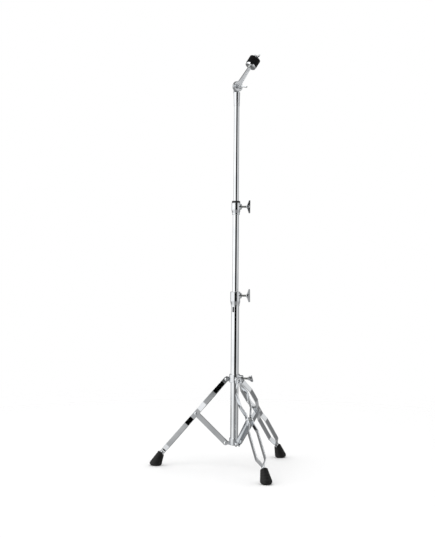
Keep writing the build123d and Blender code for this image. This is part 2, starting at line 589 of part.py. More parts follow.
def tilter_arm():
    """Flat arm with a round eye at the hinge, tapering to the rod's socket."""
    eye = Pos(0, 0, ARM_MID) * Cylinder(ARM_EYE_D / 2, ARM_THICK)
    eye = chamfer(eye.edges().filter_by(GeomType.CIRCLE), 0.8)
    root = ARM_ROOT_WIDTH / 2
    tip = ARM_TIP_WIDTH / 2
    outline = make_face(Polyline((0, -root), (ARM_LENGTH, -tip), (ARM_LENGTH, tip), (0, root), close=True))
    shank = Pos(0, 0, ARM_BACK) * extrude(outline, ARM_THICK)
    panel_end = ARM_LENGTH - PANEL_STOP
    wide = root - PANEL_BORDER
    narrow = tip - PANEL_BORDER + 0.6
    panel = make_face(Polyline((PANEL_START, -wide), (panel_end, -narrow), (panel_end, narrow),
                               (PANEL_START, wide), close=True))
    panel = fillet(panel.vertices(), 1.5)
    arm = eye + shank
    for face in (ARM_BACK - 1.0, ARM_FRONT - PANEL_DEPTH):
        arm -= Pos(0, 0, face) * extrude(panel, PANEL_DEPTH + 1.0)
    arm -= across(BOLT_D / 2 + PIN_PLAY, ARM_BACK - 1, ARM_FRONT + 1)
    return arm - Pos(0, 0, ARM_MID) * level(ROD_D / 2, ARM_LENGTH - ROD_GRIP, ARM_LENGTH + 1)


def seat_ring(outer_r, inner_r, start, end):
    """Ring round the rod, from start to end along the arm."""
    return Pos(0, 0, ARM_MID) * (level(outer_r, start, end) - level(inner_r, start - 1, end + 1))


def cup_washer():
    """Shallow dish under the felts, open towards them."""
    dish = level(CUP_D / 2, SEAT_NUT_TOP, CUP_RIM)
    dish = fillet(dish.edges().group_by(Axis.X)[0], 3.0)
    inside = level(CUP_D / 2 - CUP_WALL, SEAT_NUT_TOP + CUP_WALL, CUP_RIM + 1)
    dish -= fillet(inside.edges().group_by(Axis.X)[0], 2.0)
    return Pos(0, 0, ARM_MID) * (dish - level(ROD_D / 2 + 0.2, SEAT_NUT_TOP - 1, CUP_RIM))


def wing_nut(hub_d, span, reach, hub_length, hole_d):
    """Nut with two wings swept away from its seat. The axis is +X, and the seat is at X = 0."""
    half = span / 2
    inner = hub_d / 2 - 2.0
    wing = [(1.5, inner), (0.35 * reach, hub_d / 2 + 1.0), (0.72 * reach, half), (reach, half),
            (reach, half - 5.0), (hub_length, inner)]
    nut = level(hub_d / 2, 0, hub_length)
    nut = fillet(nut.edges().group_by(Axis.X)[-1], 1.2)
    for side in (1, -1):
        nut += plate([(x, side * z) for x, z in wing], WING_NUT_THICK, 1.2)
    return nut - level(hole_d / 2 + PIN_PLAY, -1, reach + 1)


save("tilter_base", tilter_base())
save("tilter_rivets", *[stem_rivet(drop) for drop in STEM_RIVET_DROPS])
save("tilter_friction_disc", upright_frame * (
    across(EAR_D / 2 - 0.5, -FRICTION_DISC_FRONT, FRICTION_DISC_FRONT)
    - across(BOLT_D / 2, -FRICTION_DISC_FRONT - 1, FRICTION_DISC_FRONT + 1)))
bolt_head = across(TILT_BOLT_HEAD_D / 2, EAR_BACK - TILT_BOLT_HEAD, EAR_BACK)
bolt_head = fillet(bolt_head.edges().group_by(Axis.Z)[0], 3.5)
save("tilter_bolt", upright_frame * (across(BOLT_D / 2, EAR_BACK - 1, TILT_BOLT_END) + bolt_head))
save("tilter_arm", arm_frame * tilter_arm())
nut_seat = Plane(origin=arm_frame.from_local_coords((0, 0, ARM_FRONT + PIN_PLAY * 2)),
                 x_dir=HINGE_AXIS, z_dir=(0, 0, 1))
save("tilter_wing_nut", nut_seat * Rot(TILT_NUT_TURN, 0, 0)
     * wing_nut(TILT_NUT_HUB_D, TILT_NUT_SPAN, TILT_NUT_REACH, TILT_NUT_HUB_LENGTH, BOLT_D))

# ---------------------------------------------------------------- cymbal seat
save("cymbal_rod", arm_frame * Pos(0, 0, ARM_MID) * level(ROD_D / 2, ARM_LENGTH - ROD_GRIP, ROD_TOP))
save("rod_lock_nut", arm_frame * Pos(0, 0, ARM_MID) * (
    hexagon(NUT_FLATS, ARM_LENGTH, SEAT_NUT_TOP) - level(ROD_D / 2, ARM_LENGTH - 1, SEAT_NUT_TOP + 1)))
save("cup_washer", arm_frame * cup_washer())
save("cymbal_sleeve", arm_frame * seat_ring(
    SLEEVE_D / 2, ROD_D / 2 + 0.2, SEAT_NUT_TOP + CUP_WALL, UPPER_FELT_TOP - 1.0))
save("lower_felt", arm_frame * seat_ring(FELT_D / 2, SLEEVE_D / 2 + 0.3, CUP_RIM, LOWER_FELT_TOP))
save("upper_felt", arm_frame * seat_ring(
    FELT_D / 2, SLEEVE_D / 2 + 0.3, UPPER_FELT_BOTTOM, UPPER_FELT_TOP))
rod_frame = Plane(origin=arm_frame.from_local_coords((UPPER_FELT_TOP + FACE_GAP, 0, ARM_MID)),
                  x_dir=ARM_WAY, z_dir=HINGE_AXIS)
save("cymbal_wing_nut", rod_frame * Rot(TOP_NUT_TURN, 0, 0)
     * wing_nut(TOP_NUT_HUB_D, TOP_NUT_SPAN, TOP_NUT_REACH, TOP_NUT_HUB_LENGTH, ROD_D))
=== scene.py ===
import json
import math

import bpy
from mathutils import Matrix, Vector


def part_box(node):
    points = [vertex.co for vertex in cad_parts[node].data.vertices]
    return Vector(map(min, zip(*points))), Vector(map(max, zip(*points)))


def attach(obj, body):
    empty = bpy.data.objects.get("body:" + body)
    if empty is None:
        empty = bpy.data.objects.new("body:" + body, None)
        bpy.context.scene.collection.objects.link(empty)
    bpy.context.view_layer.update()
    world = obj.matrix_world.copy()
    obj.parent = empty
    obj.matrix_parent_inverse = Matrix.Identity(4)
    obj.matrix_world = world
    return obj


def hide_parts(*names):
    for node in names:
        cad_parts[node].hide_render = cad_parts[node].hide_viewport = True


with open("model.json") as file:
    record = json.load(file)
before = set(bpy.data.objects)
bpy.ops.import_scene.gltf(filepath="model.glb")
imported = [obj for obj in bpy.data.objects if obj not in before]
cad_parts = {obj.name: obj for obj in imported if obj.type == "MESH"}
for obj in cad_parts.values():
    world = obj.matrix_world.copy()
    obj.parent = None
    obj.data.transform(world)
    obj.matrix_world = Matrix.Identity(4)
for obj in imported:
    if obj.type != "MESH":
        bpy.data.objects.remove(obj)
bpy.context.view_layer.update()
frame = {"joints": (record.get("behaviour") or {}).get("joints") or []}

# ------------------------------------------------------------------ camera
# A long lens, level, at half the stand's height and a little to the right of square on.
# It aims a little to the left of the stand, and is rolled by half a degree.
CAMERA_AZIMUTH = math.radians(8.0)
CAMERA_DISTANCE = 3.7
CAMERA_HEIGHT = 0.72
CAMERA_LENS = 68.8
CAMERA_ROLL = math.radians(0.45)
AIM_LEFT = 0.065

camera_right = Vector((math.cos(CAMERA_AZIMUTH), math.sin(CAMERA_AZIMUTH), 0.0))
camera_place = Vector((math.sin(CAMERA_AZIMUTH), -math.cos(CAMERA_AZIMUTH), 0.0)) * CAMERA_DISTANCE
camera_place.z = CAMERA_HEIGHT
aim = -AIM_LEFT * camera_right
aim.z = CAMERA_HEIGHT
bpy.ops.object.camera_add(location=camera_place)
camera = bpy.context.object
camera.name = "camera"
camera.data.lens = CAMERA_LENS
camera.data.sensor_width = 36.0
camera.data.clip_end = 60.0
looking = (aim - camera_place).to_track_quat("-Z", "Y").to_matrix()
camera.rotation_euler = (looking @ Matrix.Rotation(CAMERA_ROLL, 3, "Z")).to_euler()
bpy.context.scene.camera = camera
bpy.context.scene.view_settings.view_transform = "Standard"

# ------------------------------------------------------------------ studio
# A white sweep lit from all round. Chrome shows only what stands round it, so the surroundings hold one
# black card beside the camera, white walls, and grey ones behind and to the right, as a product studio has.
MM = 0.001


def colour(hex_value):
    """sRGB hex value as linear red, green, blue and alpha."""
    parts = [int(hex_value[i:i + 2], 16) / 255.0 for i in (1, 3, 5)]
    linear = [c / 12.92 if c <= 0.04045 else ((c + 0.055) / 1.055) ** 2.4 for c in parts]
    return (*linear, 1.0)


def add_node(tree, kind, inputs=None, **settings):
    """Adds a node, sets it up, and fills its inputs with values or with other nodes' outputs."""
    made = tree.nodes.new(kind)
    for name, value in settings.items():
        setattr(made, name, value)
    for name, value in (inputs or {}).items():
        if isinstance(value, bpy.types.NodeSocket):
            tree.links.new(value, made.inputs[name])
        else:
            made.inputs[name].default_value = value
    return made


def set_ramp(ramp, stops):
    """Gives a colour ramp its (position, grey) stops."""
    ramp.interpolation = "LINEAR"
    while len(ramp.elements) > 1:
        ramp.elements.remove(ramp.elements[-1])
    for index, (place, grey) in enumerate(stops):
        stop = ramp.elements[0] if index == 0 else ramp.elements.new(place)
        stop.position = place
        stop.color = (grey, grey, grey, 1.0)


# How bright the room is in each direction, as (turns, grey): 0.5 is where the camera stands, more is to
# its right, and 0 and 1 are the wall behind the stand. HEIGHTS goes from straight down to straight up,
# and FLOOR is what the chrome sees below the horizon.
ROOM = [(0.0, 0.10), (0.05, 0.14), (0.12, 0.35), (0.19, 1.25), (0.34, 1.30), (0.443, 1.15), (0.452, 0.0),
        (0.600, 0.0), (0.612, 0.62), (0.70, 0.80), (0.755, 0.85), (0.77, 0.23), (0.81, 0.23), (0.825, 0.62),
        (0.88, 0.55), (0.95, 0.30), (1.0, 0.12)]
FLOOR = [(0.0, 0.08), (0.12, 0.25), (0.20, 0.45), (0.30, 1.0), (0.38, 1.05), (0.455, 0.45), (0.49, 0.22),
         (0.56, 0.20), (0.62, 0.42), (0.74, 0.62), (0.77, 0.23), (0.82, 0.23), (0.85, 0.45), (1.0, 0.15)]
HEIGHTS = [(0.0, 0.55), (0.40, 0.8), (0.5, 1.0), (0.72, 1.0), (0.9, 0.85), (1.0, 0.8)]

world = bpy.data.worlds.new("studio_room")
bpy.context.scene.world = world
world.use_nodes = True
sky = world.node_tree
sky.nodes.clear()
way = add_node(sky, "ShaderNodeTexCoord").outputs["Generated"]
turned_way = add_node(sky, "ShaderNodeVectorRotate", {"Vector": way, "Angle": -CAMERA_AZIMUTH},
                      rotation_type="Z_AXIS").outputs["Vector"]
axes = add_node(sky, "ShaderNodeSeparateXYZ", {"Vector": turned_way})
towards = add_node(sky, "ShaderNodeMath", {0: axes.outputs["Y"], 1: -1.0}, operation="MULTIPLY")
bearing = add_node(sky, "ShaderNodeMath", {0: axes.outputs["X"], 1: towards.outputs[0]}, operation="ARCTAN2")
share = add_node(sky, "ShaderNodeMapRange", {"Value": bearing.outputs[0], "From Min": -math.pi,
                                             "From Max": math.pi})
round_room = add_node(sky, "ShaderNodeValToRGB", {"Fac": share.outputs[0]})
lift = add_node(sky, "ShaderNodeMapRange", {"Value": axes.outputs["Z"], "From Min": -1.0, "From Max": 1.0})
up_room = add_node(sky, "ShaderNodeValToRGB", {"Fac": lift.outputs[0]})
set_ramp(round_room.color_ramp, ROOM)
set_ramp(up_room.color_ramp, HEIGHTS)
walls = add_node(sky, "ShaderNodeMix", {0: 1.0, 6: round_room.outputs[0], 7: up_room.outputs[0]},
                 data_type="RGBA", blend_type="MULTIPLY")
below = add_node(sky, "ShaderNodeMapRange", {"Value": axes.outputs["Z"], "From Min": -0.105,
                                             "From Max": -0.135})
round_floor = add_node(sky, "ShaderNodeValToRGB", {"Fac": share.outputs[0]})
set_ramp(round_floor.color_ramp, FLOOR)
room = add_node(sky, "ShaderNodeMix", {0: below.outputs[0], 6: walls.outputs[2], 7: round_floor.outputs[0]},
                data_type="RGBA")
path = add_node(sky, "ShaderNodeLightPath")
seen = add_node(sky, "ShaderNodeMix", {0: path.outputs["Is Glossy Ray"], 6: (1.0, 1.0, 1.0, 1.0),
                                       7: room.outputs[2]}, data_type="RGBA")
glow = add_node(sky, "ShaderNodeBackground", {"Color": seen.outputs[2], "Strength": 1.0})
add_node(sky, "ShaderNodeOutputWorld", {"Surface": glow.outputs[0]})

# The pale floor fades into the white room before its edge.
FLOOR_RADIUS = 2.6
bpy.ops.object.select_all(action="DESELECT")
bpy.ops.mesh.primitive_circle_add(vertices=96, radius=FLOOR_RADIUS, fill_type="NGON", location=(0, 0, 0))
floor = bpy.context.object
floor.name = "studio_floor"
paper = bpy.data.materials.new("seamless_white_paper")
paper.use_nodes = True
tree = paper.node_tree
tree.nodes.clear()
place = add_node(tree, "ShaderNodeTexCoord").outputs["Object"]
from_middle = add_node(tree, "ShaderNodeVectorMath", {0: place}, operation="LENGTH")
fade = add_node(tree, "ShaderNodeMapRange", {
    "Value": from_middle.outputs["Value"], "From Min": 0.55, "From Max": FLOOR_RADIUS * 0.98},
    interpolation_type="SMOOTHSTEP")
matt = add_node(tree, "ShaderNodeBsdfDiffuse", {"Color": colour("#FBFBFB")})
clear = add_node(tree, "ShaderNodeBsdfTransparent")
faded = add_node(tree, "ShaderNodeMixShader", {0: fade.outputs[0], 1: matt.outputs[0], 2: clear.outputs[0]})
add_node(tree, "ShaderNodeOutputMaterial", {"Surface": faded.outputs[0]})
floor.data.materials.append(paper)
floor.visible_glossy = False

# One large soft lamp overhead gives the feet and felts their shape.
bpy.ops.object.light_add(type="AREA", location=(-1.2, -1.6, 3.2))
lamp = bpy.context.object
lamp.name = "overhead_softbox"
lamp.data.energy = 14.0
lamp.data.size = 1.6
lamp.rotation_euler = (Vector((0, 0, 0.6)) - lamp.location).to_track_quat("-Z", "Y").to_euler()

# ------------------------------------------------------------------ base tube
# Seamed steel tube 28.6 mm across, bent and welded from strip, ground, polished and chromed. Its ends
# are cut square and broken with a file, and a nylon plug closes the lower one.
joints = {joint["name"]: joint for joint in frame["joints"]}
BASE_WALL = 1.5 * MM
POLE = 1e-6  # radius of a ring that closes to a point


def turned(name, rings, sides=96):
    """Lathe-turned body about Z: a circle extruded through (radius, height) rings and back to the first,
    or from pole to pole."""
    bpy.ops.object.select_all(action="DESELECT")
    radius, height = rings[0]
    bpy.ops.mesh.primitive_circle_add(vertices=sides, radius=radius, location=(0, 0, 0))
    piece = bpy.context.object
    piece.name = name
    bpy.ops.object.mode_set(mode="EDIT")
    bpy.ops.mesh.select_all(action="SELECT")
    bpy.ops.transform.translate(value=(0, 0, height))
    closed_at_poles = rings[0][0] == rings[-1][0] == POLE
    for next_radius, next_height in (rings[1:] if closed_at_poles else [*rings[1:], rings[0]]):
        bpy.ops.mesh.extrude_region_move(TRANSFORM_OT_translate={"value": (0, 0, next_height - height)})
        grow = next_radius / radius
        bpy.ops.transform.resize(value=(grow, grow, 1), center_override=(0, 0, next_height))
        radius, height = next_radius, next_height
    bpy.ops.mesh.select_all(action="SELECT")
    bpy.ops.mesh.remove_doubles(threshold=2e-6)
    bpy.ops.mesh.normals_make_consistent(inside=False)
    bpy.ops.object.mode_set(mode="OBJECT")
    return piece


def pick(piece):
    """Selects one piece alone."""
    bpy.ops.object.select_all(action="DESELECT")
    bpy.context.view_layer.objects.active = piece
    piece.select_set(True)


def use_modifier(piece, kind, **settings):
    """Adds a modifier to a piece and applies it."""
    pick(piece)
    made = piece.modifiers.new(kind.lower(), kind)
    for name, value in settings.items():
        setattr(made, name, value)
    bpy.ops.object.modifier_apply(modifier=made.name)


def round_edges(piece, width, segments, angle):
    """Rounds every edge sharper than an angle in degrees."""
    use_modifier(piece, "BEVEL", width=width, segments=segments, limit_method="ANGLE",
                 angle_limit=math.radians(angle), harden_normals=False)


def put(piece, matrix):
    """Moves a piece from its own frame to its place, in its mesh."""
    pick(piece)
    piece.matrix_world = matrix
    bpy.ops.object.transform_apply(location=True, rotation=True, scale=True)


def finish_piece(piece, finish, body, slot, *nodes, smooth=35.0):
    """Gives a piece its shading, its material, its body and the CAD nodes that it stands for."""
    pick(piece)
    bpy.ops.object.shade_smooth_by_angle(angle=math.radians(smooth))
    use_modifier(piece, "WEIGHTED_NORMAL", keep_sharp=True, weight=80)
    piece.data.materials.clear()
    piece.data.materials.append(finish)
    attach(piece, body)
    if nodes:
        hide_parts(*nodes)
    return piece


def tube_rings(outer, inner, bottom, top, edge=0.4 * MM):
    """Rings of a tube with broken edges."""
    return [(outer - edge, bottom), (outer, bottom + edge), (outer, top - edge), (outer - edge, top),
            (inner + edge, top), (inner, top - edge), (inner, bottom + edge), (inner + edge, bottom)]


def surface(material_name):
    """A new node material with an empty tree."""
    made = bpy.data.materials.new(material_name)
    made.use_nodes = True
    made.node_tree.nodes.clear()
    return made, made.node_tree


def chrome_plate(name, tint, soft, sharp, grain_mm, along, wave_mm, wave_depth_mm):
    """Bright nickel-chrome plate. The polishing marks run along one axis and vary its gloss, and the metal
    under it is never quite flat, which bends the reflections slightly."""
    made, tree = surface(name)
    place = add_node(tree, "ShaderNodeTexCoord").outputs["Object"]
    fine = 1.0 / (grain_mm * MM)
    stretch = tuple(fine * (0.02 if axis == along else 1.0) for axis in "XYZ")
    marks_place = add_node(tree, "ShaderNodeMapping", {"Vector": place, "Scale": stretch})
    marks = add_node(tree, "ShaderNodeTexNoise", {"Vector": marks_place.outputs[0], "Scale": 1.0,
                                                  "Detail": 4.0, "Roughness": 0.6})
    haze = add_node(tree, "ShaderNodeTexNoise", {"Vector": place, "Scale": 1.0 / (60.0 * MM), "Detail": 3.0})
    mixed = add_node(tree, "ShaderNodeMath", {0: marks.outputs[0], 1: haze.outputs[0]}, operation="MULTIPLY")
    gloss = add_node(tree, "ShaderNodeMapRange", {
        "Value": mixed.outputs[0], "From Min": 0.12, "From Max": 0.42, "To Min": sharp, "To Max": soft})
    tone = add_node(tree, "ShaderNodeValToRGB", {"Fac": haze.outputs[0]})
    tone.color_ramp.elements[0].color = colour(tint[0])
    tone.color_ramp.elements[0].position = 0.3
    tone.color_ramp.elements[1].color = colour(tint[1])
    tone.color_ramp.elements[1].position = 0.7
    wave = add_node(tree, "ShaderNodeTexNoise", {"Vector": place, "Scale": 1.0 / (wave_mm * MM),
                                                 "Detail": 2.0})
    uneven = add_node(tree, "ShaderNodeBump", {"Height": wave.outputs[0], "Strength": 1.0,
                                               "Distance": wave_depth_mm * MM})
    fine_uneven = add_node(tree, "ShaderNodeBump", {"Height": marks.outputs[0], "Strength": 0.25,
                                                    "Distance": 0.004 * MM, "Normal": uneven.outputs[0]})
    shader = add_node(tree, "ShaderNodeBsdfPrincipled", {
        "Base Color": tone.outputs[0], "Metallic": 1.0, "Roughness": gloss.outputs[0],
        "Normal": fine_uneven.outputs[0]})
    add_node(tree, "ShaderNodeOutputMaterial", {"Surface": shader.outputs[0]})
    return made


chromed_tube = chrome_plate("chrome_plate_on_polished_steel_tube", ("#DDE0E3", "#EDEFF0"), 0.055, 0.022,
                            0.6, "Z", 45.0, 0.008)

low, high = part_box("base_tube")
base_radius = high.x
base_tube = turned("base_tube_chromed", tube_rings(base_radius, base_radius - BASE_WALL, low.z, high.z))
finish_piece(base_tube, chromed_tube, "base", "chromed_steel", "base_tube")


def moulded(name, hex_value, gloss, grain_mm, depth_mm, dust="#3A3A39", dust_share=0.12):
    """Moulded black rubber or plastic: the mould leaves a fine grain, and dust dulls the high spots."""
    made, tree = surface(name)
    place = add_node(tree, "ShaderNodeTexCoord").outputs["Object"]
    grain = add_node(tree, "ShaderNodeTexNoise", {"Vector": place, "Scale": 1.0 / (grain_mm * MM),
                                                  "Detail": 5.0, "Roughness": 0.65})
    patches = add_node(tree, "ShaderNodeTexNoise", {"Vector": place, "Scale": 1.0 / (14.0 * MM),
                                                    "Detail": 4.0})
    dusty = add_node(tree, "ShaderNodeMapRange", {
        "Value": patches.outputs[0], "From Min": 0.45, "From Max": 0.75, "To Min": 0.0, "To Max": dust_share})
    shade = add_node(tree, "ShaderNodeMix", {0: dusty.outputs[0], 6: colour(hex_value), 7: colour(dust)},
                     data_type="RGBA")
    rough = add_node(tree, "ShaderNodeMapRange", {"Value": grain.outputs[0], "From Min": 0.3, "From Max": 0.7,
                                                  "To Min": gloss, "To Max": gloss + 0.14})
    bump = add_node(tree, "ShaderNodeBump", {"Height": grain.outputs[0], "Strength": 0.6,
                                             "Distance": depth_mm * MM})
    shader = add_node(tree, "ShaderNodeBsdfPrincipled", {
        "Base Color": shade.outputs[2], "Metallic": 0.0, "Roughness": rough.outputs[0], "IOR": 1.52,
        "Normal": bump.outputs[0]})
    add_node(tree, "ShaderNodeOutputMaterial", {"Surface": shader.outputs[0]})
    return made


nylon = moulded("moulded_black_nylon", "#151516", 0.38, 0.5, 0.02)

low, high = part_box("base_tube_plug")
spigot = base_radius - BASE_WALL
plug_rings = [(POLE, low.z), (high.x - 3.0 * MM, low.z), (high.x - 0.8 * MM, low.z),
              (high.x, low.z + 0.7 * MM), (high.x, low.z + 2.0 * MM), (spigot, low.z + 2.0 * MM),
              (spigot, high.z - 1.0 * MM), (spigot - 1.0 * MM, high.z), (POLE, high.z)]
base_plug = turned("base_tube_end_plug", plug_rings, 64)
finish_piece(base_plug, nylon, "base", "black_nylon", "base_tube_plug")

# ------------------------------------------------------------------ blank label
# A small plain black vinyl sticker with rounded corners, stuck round the tube's wall. It says nothing.
def block(name, low_corner, high_corner):
    """Rectangular block between two corners."""
    bpy.ops.object.select_all(action="DESELECT")
    bpy.ops.mesh.primitive_cube_add(size=1, location=(0, 0, 0))
    piece = bpy.context.object
    piece.name = name
    size = Vector(high_corner) - Vector(low_corner)
    middle = (Vector(high_corner) + Vector(low_corner)) / 2
    bpy.ops.object.mode_set(mode="EDIT")
    bpy.ops.mesh.select_all(action="SELECT")
    bpy.ops.transform.resize(value=size, center_override=(0, 0, 0))
    bpy.ops.transform.translate(value=middle)
    bpy.ops.object.mode_set(mode="OBJECT")
    return piece


def merge(piece, other, operation="UNION"):
    """Joins another solid into a piece, or cuts it out of it, and removes the other."""
    use_modifier(piece, "BOOLEAN", object=other, operation=operation, solver="EXACT")
    bpy.data.objects.remove(other, do_unlink=True)


def clean_up(piece):
    """Dissolves the slivers that cutting and joining leave."""
    pick(piece)
    bpy.ops.object.mode_set(mode="EDIT")
    bpy.ops.mesh.select_all(action="SELECT")
    bpy.ops.mesh.remove_doubles(threshold=0.01 * MM)
    bpy.ops.mesh.dissolve_degenerate(threshold=0.01 * MM)
    bpy.ops.object.mode_set(mode="OBJECT")


vinyl = moulded("blank_black_vinyl", "#1C1D1F", 0.30, 1.2, 0.004, dust="#26272A", dust_share=0.5)
low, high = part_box("blank_label")
label_middle = (low + high) / 2
label_azimuth = math.atan2(label_middle.y, label_middle.x)
LABEL_HALF_WIDTH = 3.5 * MM
TRIM = 0.001 * MM
label = turned("blank_sticker", [(base_radius + 0.02 * MM, low.z), (base_radius + 0.12 * MM, low.z),
                                 (base_radius + 0.12 * MM, high.z), (base_radius + 0.02 * MM, high.z)], 192)
keep = block("keep", (-5 * MM, -LABEL_HALF_WIDTH, low.z - TRIM), (5 * MM, LABEL_HALF_WIDTH, high.z + TRIM))
round_edges(keep, 1.0 * MM, 5, 60.0)
put(keep, Matrix.Rotation(label_azimuth, 4, "Z") @ Matrix.Translation((base_radius, 0, 0)))
merge(label, keep, "INTERSECT")
finish_piece(label, vinyl, "base", "black_label", "blank_label")

# ------------------------------------------------------------------ sliding tubes
# The middle and top tubes are the same polished tube, thinner in the wall. Each has a moulded guide in
# its lower end, which keeps it central in the tube below and is never seen in use.
SLIDING_WALL = 1.2 * MM
low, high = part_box("middle_tube")
middle_radius = high.x
middle_rings = tube_rings(middle_radius, middle_radius - SLIDING_WALL, low.z, high.z)
middle_tube = turned("middle_tube_chromed", middle_rings)
finish_piece(middle_tube, chromed_tube, "middle_section", "chromed_steel", "middle_tube")
low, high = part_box("top_tube")
top_radius = high.x
top_tube = turned("top_tube_chromed", tube_rings(top_radius, top_radius - SLIDING_WALL, low.z, high.z))
finish_piece(top_tube, chromed_tube, "top_section", "chromed_steel", "top_tube")


def guide_plug(name, node, tube_node, body):
    """Moulded guide with two ribs, and a spigot in its tube."""
    low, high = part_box(node)
    tube_low, tube_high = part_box(tube_node)
    spigot = tube_high.x - SLIDING_WALL - 0.2 * MM
    flange_top = tube_low.z - 0.3 * MM
    rib = 3.0 * MM
    rings = [(POLE, low.z), (high.x - 1.0 * MM, low.z), (high.x, low.z + 1.0 * MM), (high.x, low.z + rib),
             (high.x - 0.8 * MM, low.z + rib + 0.8 * MM), (high.x - 0.8 * MM, flange_top - rib - 0.8 * MM),
             (high.x, flange_top - rib), (high.x, flange_top), (spigot, flange_top),
             (spigot, high.z - 1.0 * MM), (spigot - 1.0 * MM, high.z), (POLE, high.z)]
    finish_piece(turned(name, rings, 64), nylon, body, "black_nylon", node)


guide_plug("middle_tube_guide", "middle_tube_plug", "middle_tube", "middle_guide")
guide_plug("top_tube_guide", "top_tube_plug", "top_tube", "top_guide")

# ------------------------------------------------------------------ height clamps
# Two die-cast collars, chromed over a slightly soft polish, pressed on the ends of the tubes. Each has a
# narrower neck, a round boss with a captive nut, and a nylon bush that the next tube slides through.
chromed_casting = chrome_plate("chrome_plate_on_zinc_casting", ("#D3D6D9", "#E6E8EA"), 0.16, 0.075,
                               1.1, "X", 9.0, 0.030)
LYING_ALONG_X = Matrix.Rotation(math.pi / 2, 4, "Y")
BOLT_HOLE = 4.2 * MM


def add_boss(piece, rings, height):
    """Joins a drilled boss on, turned about the +X axis at a height."""
    boss = turned("boss", rings, 64)
    put(boss, Matrix.Translation((0, 0, height)) @ LYING_ALONG_X)
    merge(piece, boss)


def drill_bolt_hole(piece, height, reach):
    """Drills through one wall, from the axis out along +X."""
    drill = turned("drill", [(POLE, 0), (BOLT_HOLE, 0), (BOLT_HOLE, reach), (POLE, reach)], 32)
    put(drill, Matrix.Translation((0, 0, height)) @ LYING_ALONG_X)
    merge(piece, drill, "DIFFERENCE")


def clamp_collar(name, node, tube_radius, bolt_height, body):
    """Collar with a neck, two turned lines and a boss along +X."""
    low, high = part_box(node)
    outer = high.y
    neck = outer - 2.2 * MM
    line = 0.35 * MM
    profile = [(tube_radius, low.z), (neck - 0.8 * MM, low.z), (neck, low.z + 0.8 * MM),
               (neck, low.z + 6 * MM), (neck + 0.5 * MM, low.z + 8 * MM),
               (outer - 0.5 * MM, low.z + 14 * MM), (outer, low.z + 16 * MM)]
    for groove in (low.z + 18.5 * MM, high.z - 4.0 * MM):
        profile += [(outer, groove - line), (outer - line, groove), (outer, groove + line)]
    profile += [(outer, high.z - 1.0 * MM), (outer - 1.0 * MM, high.z), (tube_radius, high.z)]
    collar = turned(name, profile)
    end = high.x
    start = tube_radius + 0.8 * MM
    boss_radius = 10.0 * MM
    add_boss(collar, [(BOLT_HOLE, start), (BOLT_HOLE, end - 0.5 * MM), (BOLT_HOLE + 0.6 * MM, end),
                      (boss_radius - 1.4 * MM, end), (boss_radius - 0.4 * MM, end - 0.5 * MM),
                      (boss_radius, end - 1.6 * MM), (boss_radius, start)], bolt_height)
    drill_bolt_hole(collar, bolt_height, end + 1 * MM)
    clean_up(collar)
    finish_piece(collar, chromed_casting, body, "chromed_casting", node, smooth=28.0)


lower_bolt_height = joints["lower_bolt_turn"]["pos_m"][2]
upper_bolt_height = joints["upper_bolt_turn"]["pos_m"][2]
clamp_collar("lower_clamp_casting", "lower_clamp_collar", base_radius, lower_bolt_height, "base")
clamp_collar("upper_clamp_casting", "upper_clamp_collar", middle_radius, upper_bolt_height, "middle_section")

low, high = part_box("lower_clamp_bush")
inside = middle_radius + 0.1 * MM
lower_bush = turned("lower_clamp_bush_nylon", tube_rings(high.x, inside, low.z, high.z, 0.6 * MM))
finish_piece(lower_bush, nylon, "base", "black_nylon", "lower_clamp_bush")

low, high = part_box("upper_clamp_bush")
collar_low, collar_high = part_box("upper_clamp_collar")
collar_top = collar_high.z
inside = top_radius + 0.1 * MM
rim = high.x
upper_bush = turned("upper_clamp_bush_nylon", [
    (inside, low.z), (middle_radius, low.z), (middle_radius, collar_top), (rim - 0.3 * MM, collar_top),
    (rim, collar_top + 0.4 * MM), (rim, high.z - 2.6 * MM), (rim - 0.5 * MM, high.z - 2.2 * MM),
    (rim - 0.5 * MM, high.z - 1.6 * MM), (rim - 0.9 * MM, high.z - 0.6 * MM), (rim - 1.8 * MM, high.z),
    (inside + 0.8 * MM, high.z), (inside, high.z - 0.8 * MM)])
finish_piece(upper_bush, nylon, "middle_section", "black_nylon", "upper_clamp_bush")

# ------------------------------------------------------------------ captive nuts
# Plain M8 nuts, zinc plated, dropped into the bosses from inside, where they can't turn.
def zinc_plate(name):
    """Dull bright-zinc plating, with the faint patches that its bath leaves."""
    made, tree = surface(name)
    place = add_node(tree, "ShaderNodeTexCoord").outputs["Object"]
    patches = add_node(tree, "ShaderNodeTexNoise", {"Vector": place, "Scale": 1.0 / (3.0 * MM),
                                                    "Detail": 6.0})
    tone = add_node(tree, "ShaderNodeValToRGB", {"Fac": patches.outputs[0]})
    tone.color_ramp.elements[0].color = colour("#A9ABA8")
    tone.color_ramp.elements[1].color = colour("#D2D3D0")
    rough = add_node(tree, "ShaderNodeMapRange", {
        "Value": patches.outputs[0], "From Min": 0.3, "From Max": 0.7, "To Min": 0.22, "To Max": 0.38})
    shader = add_node(tree, "ShaderNodeBsdfPrincipled", {"Base Color": tone.outputs[0], "Metallic": 1.0,
                                                         "Roughness": rough.outputs[0]})
    add_node(tree, "ShaderNodeOutputMaterial", {"Surface": shader.outputs[0]})
    return made


zinc = zinc_plate("bright_zinc_plated_steel")


def hexagon_nut(name, thick, flats, hole):
    """Nut about Z from 0 to its thickness, with turned corners."""
    corner = flats / 2 / math.cos(math.pi / 6)
    nut = turned(name, [(corner, 0), (corner, thick), (hole, thick), (hole, 0)], 6)
    round_edges(nut, 0.5 * MM, 2, 50.0)
    return nut


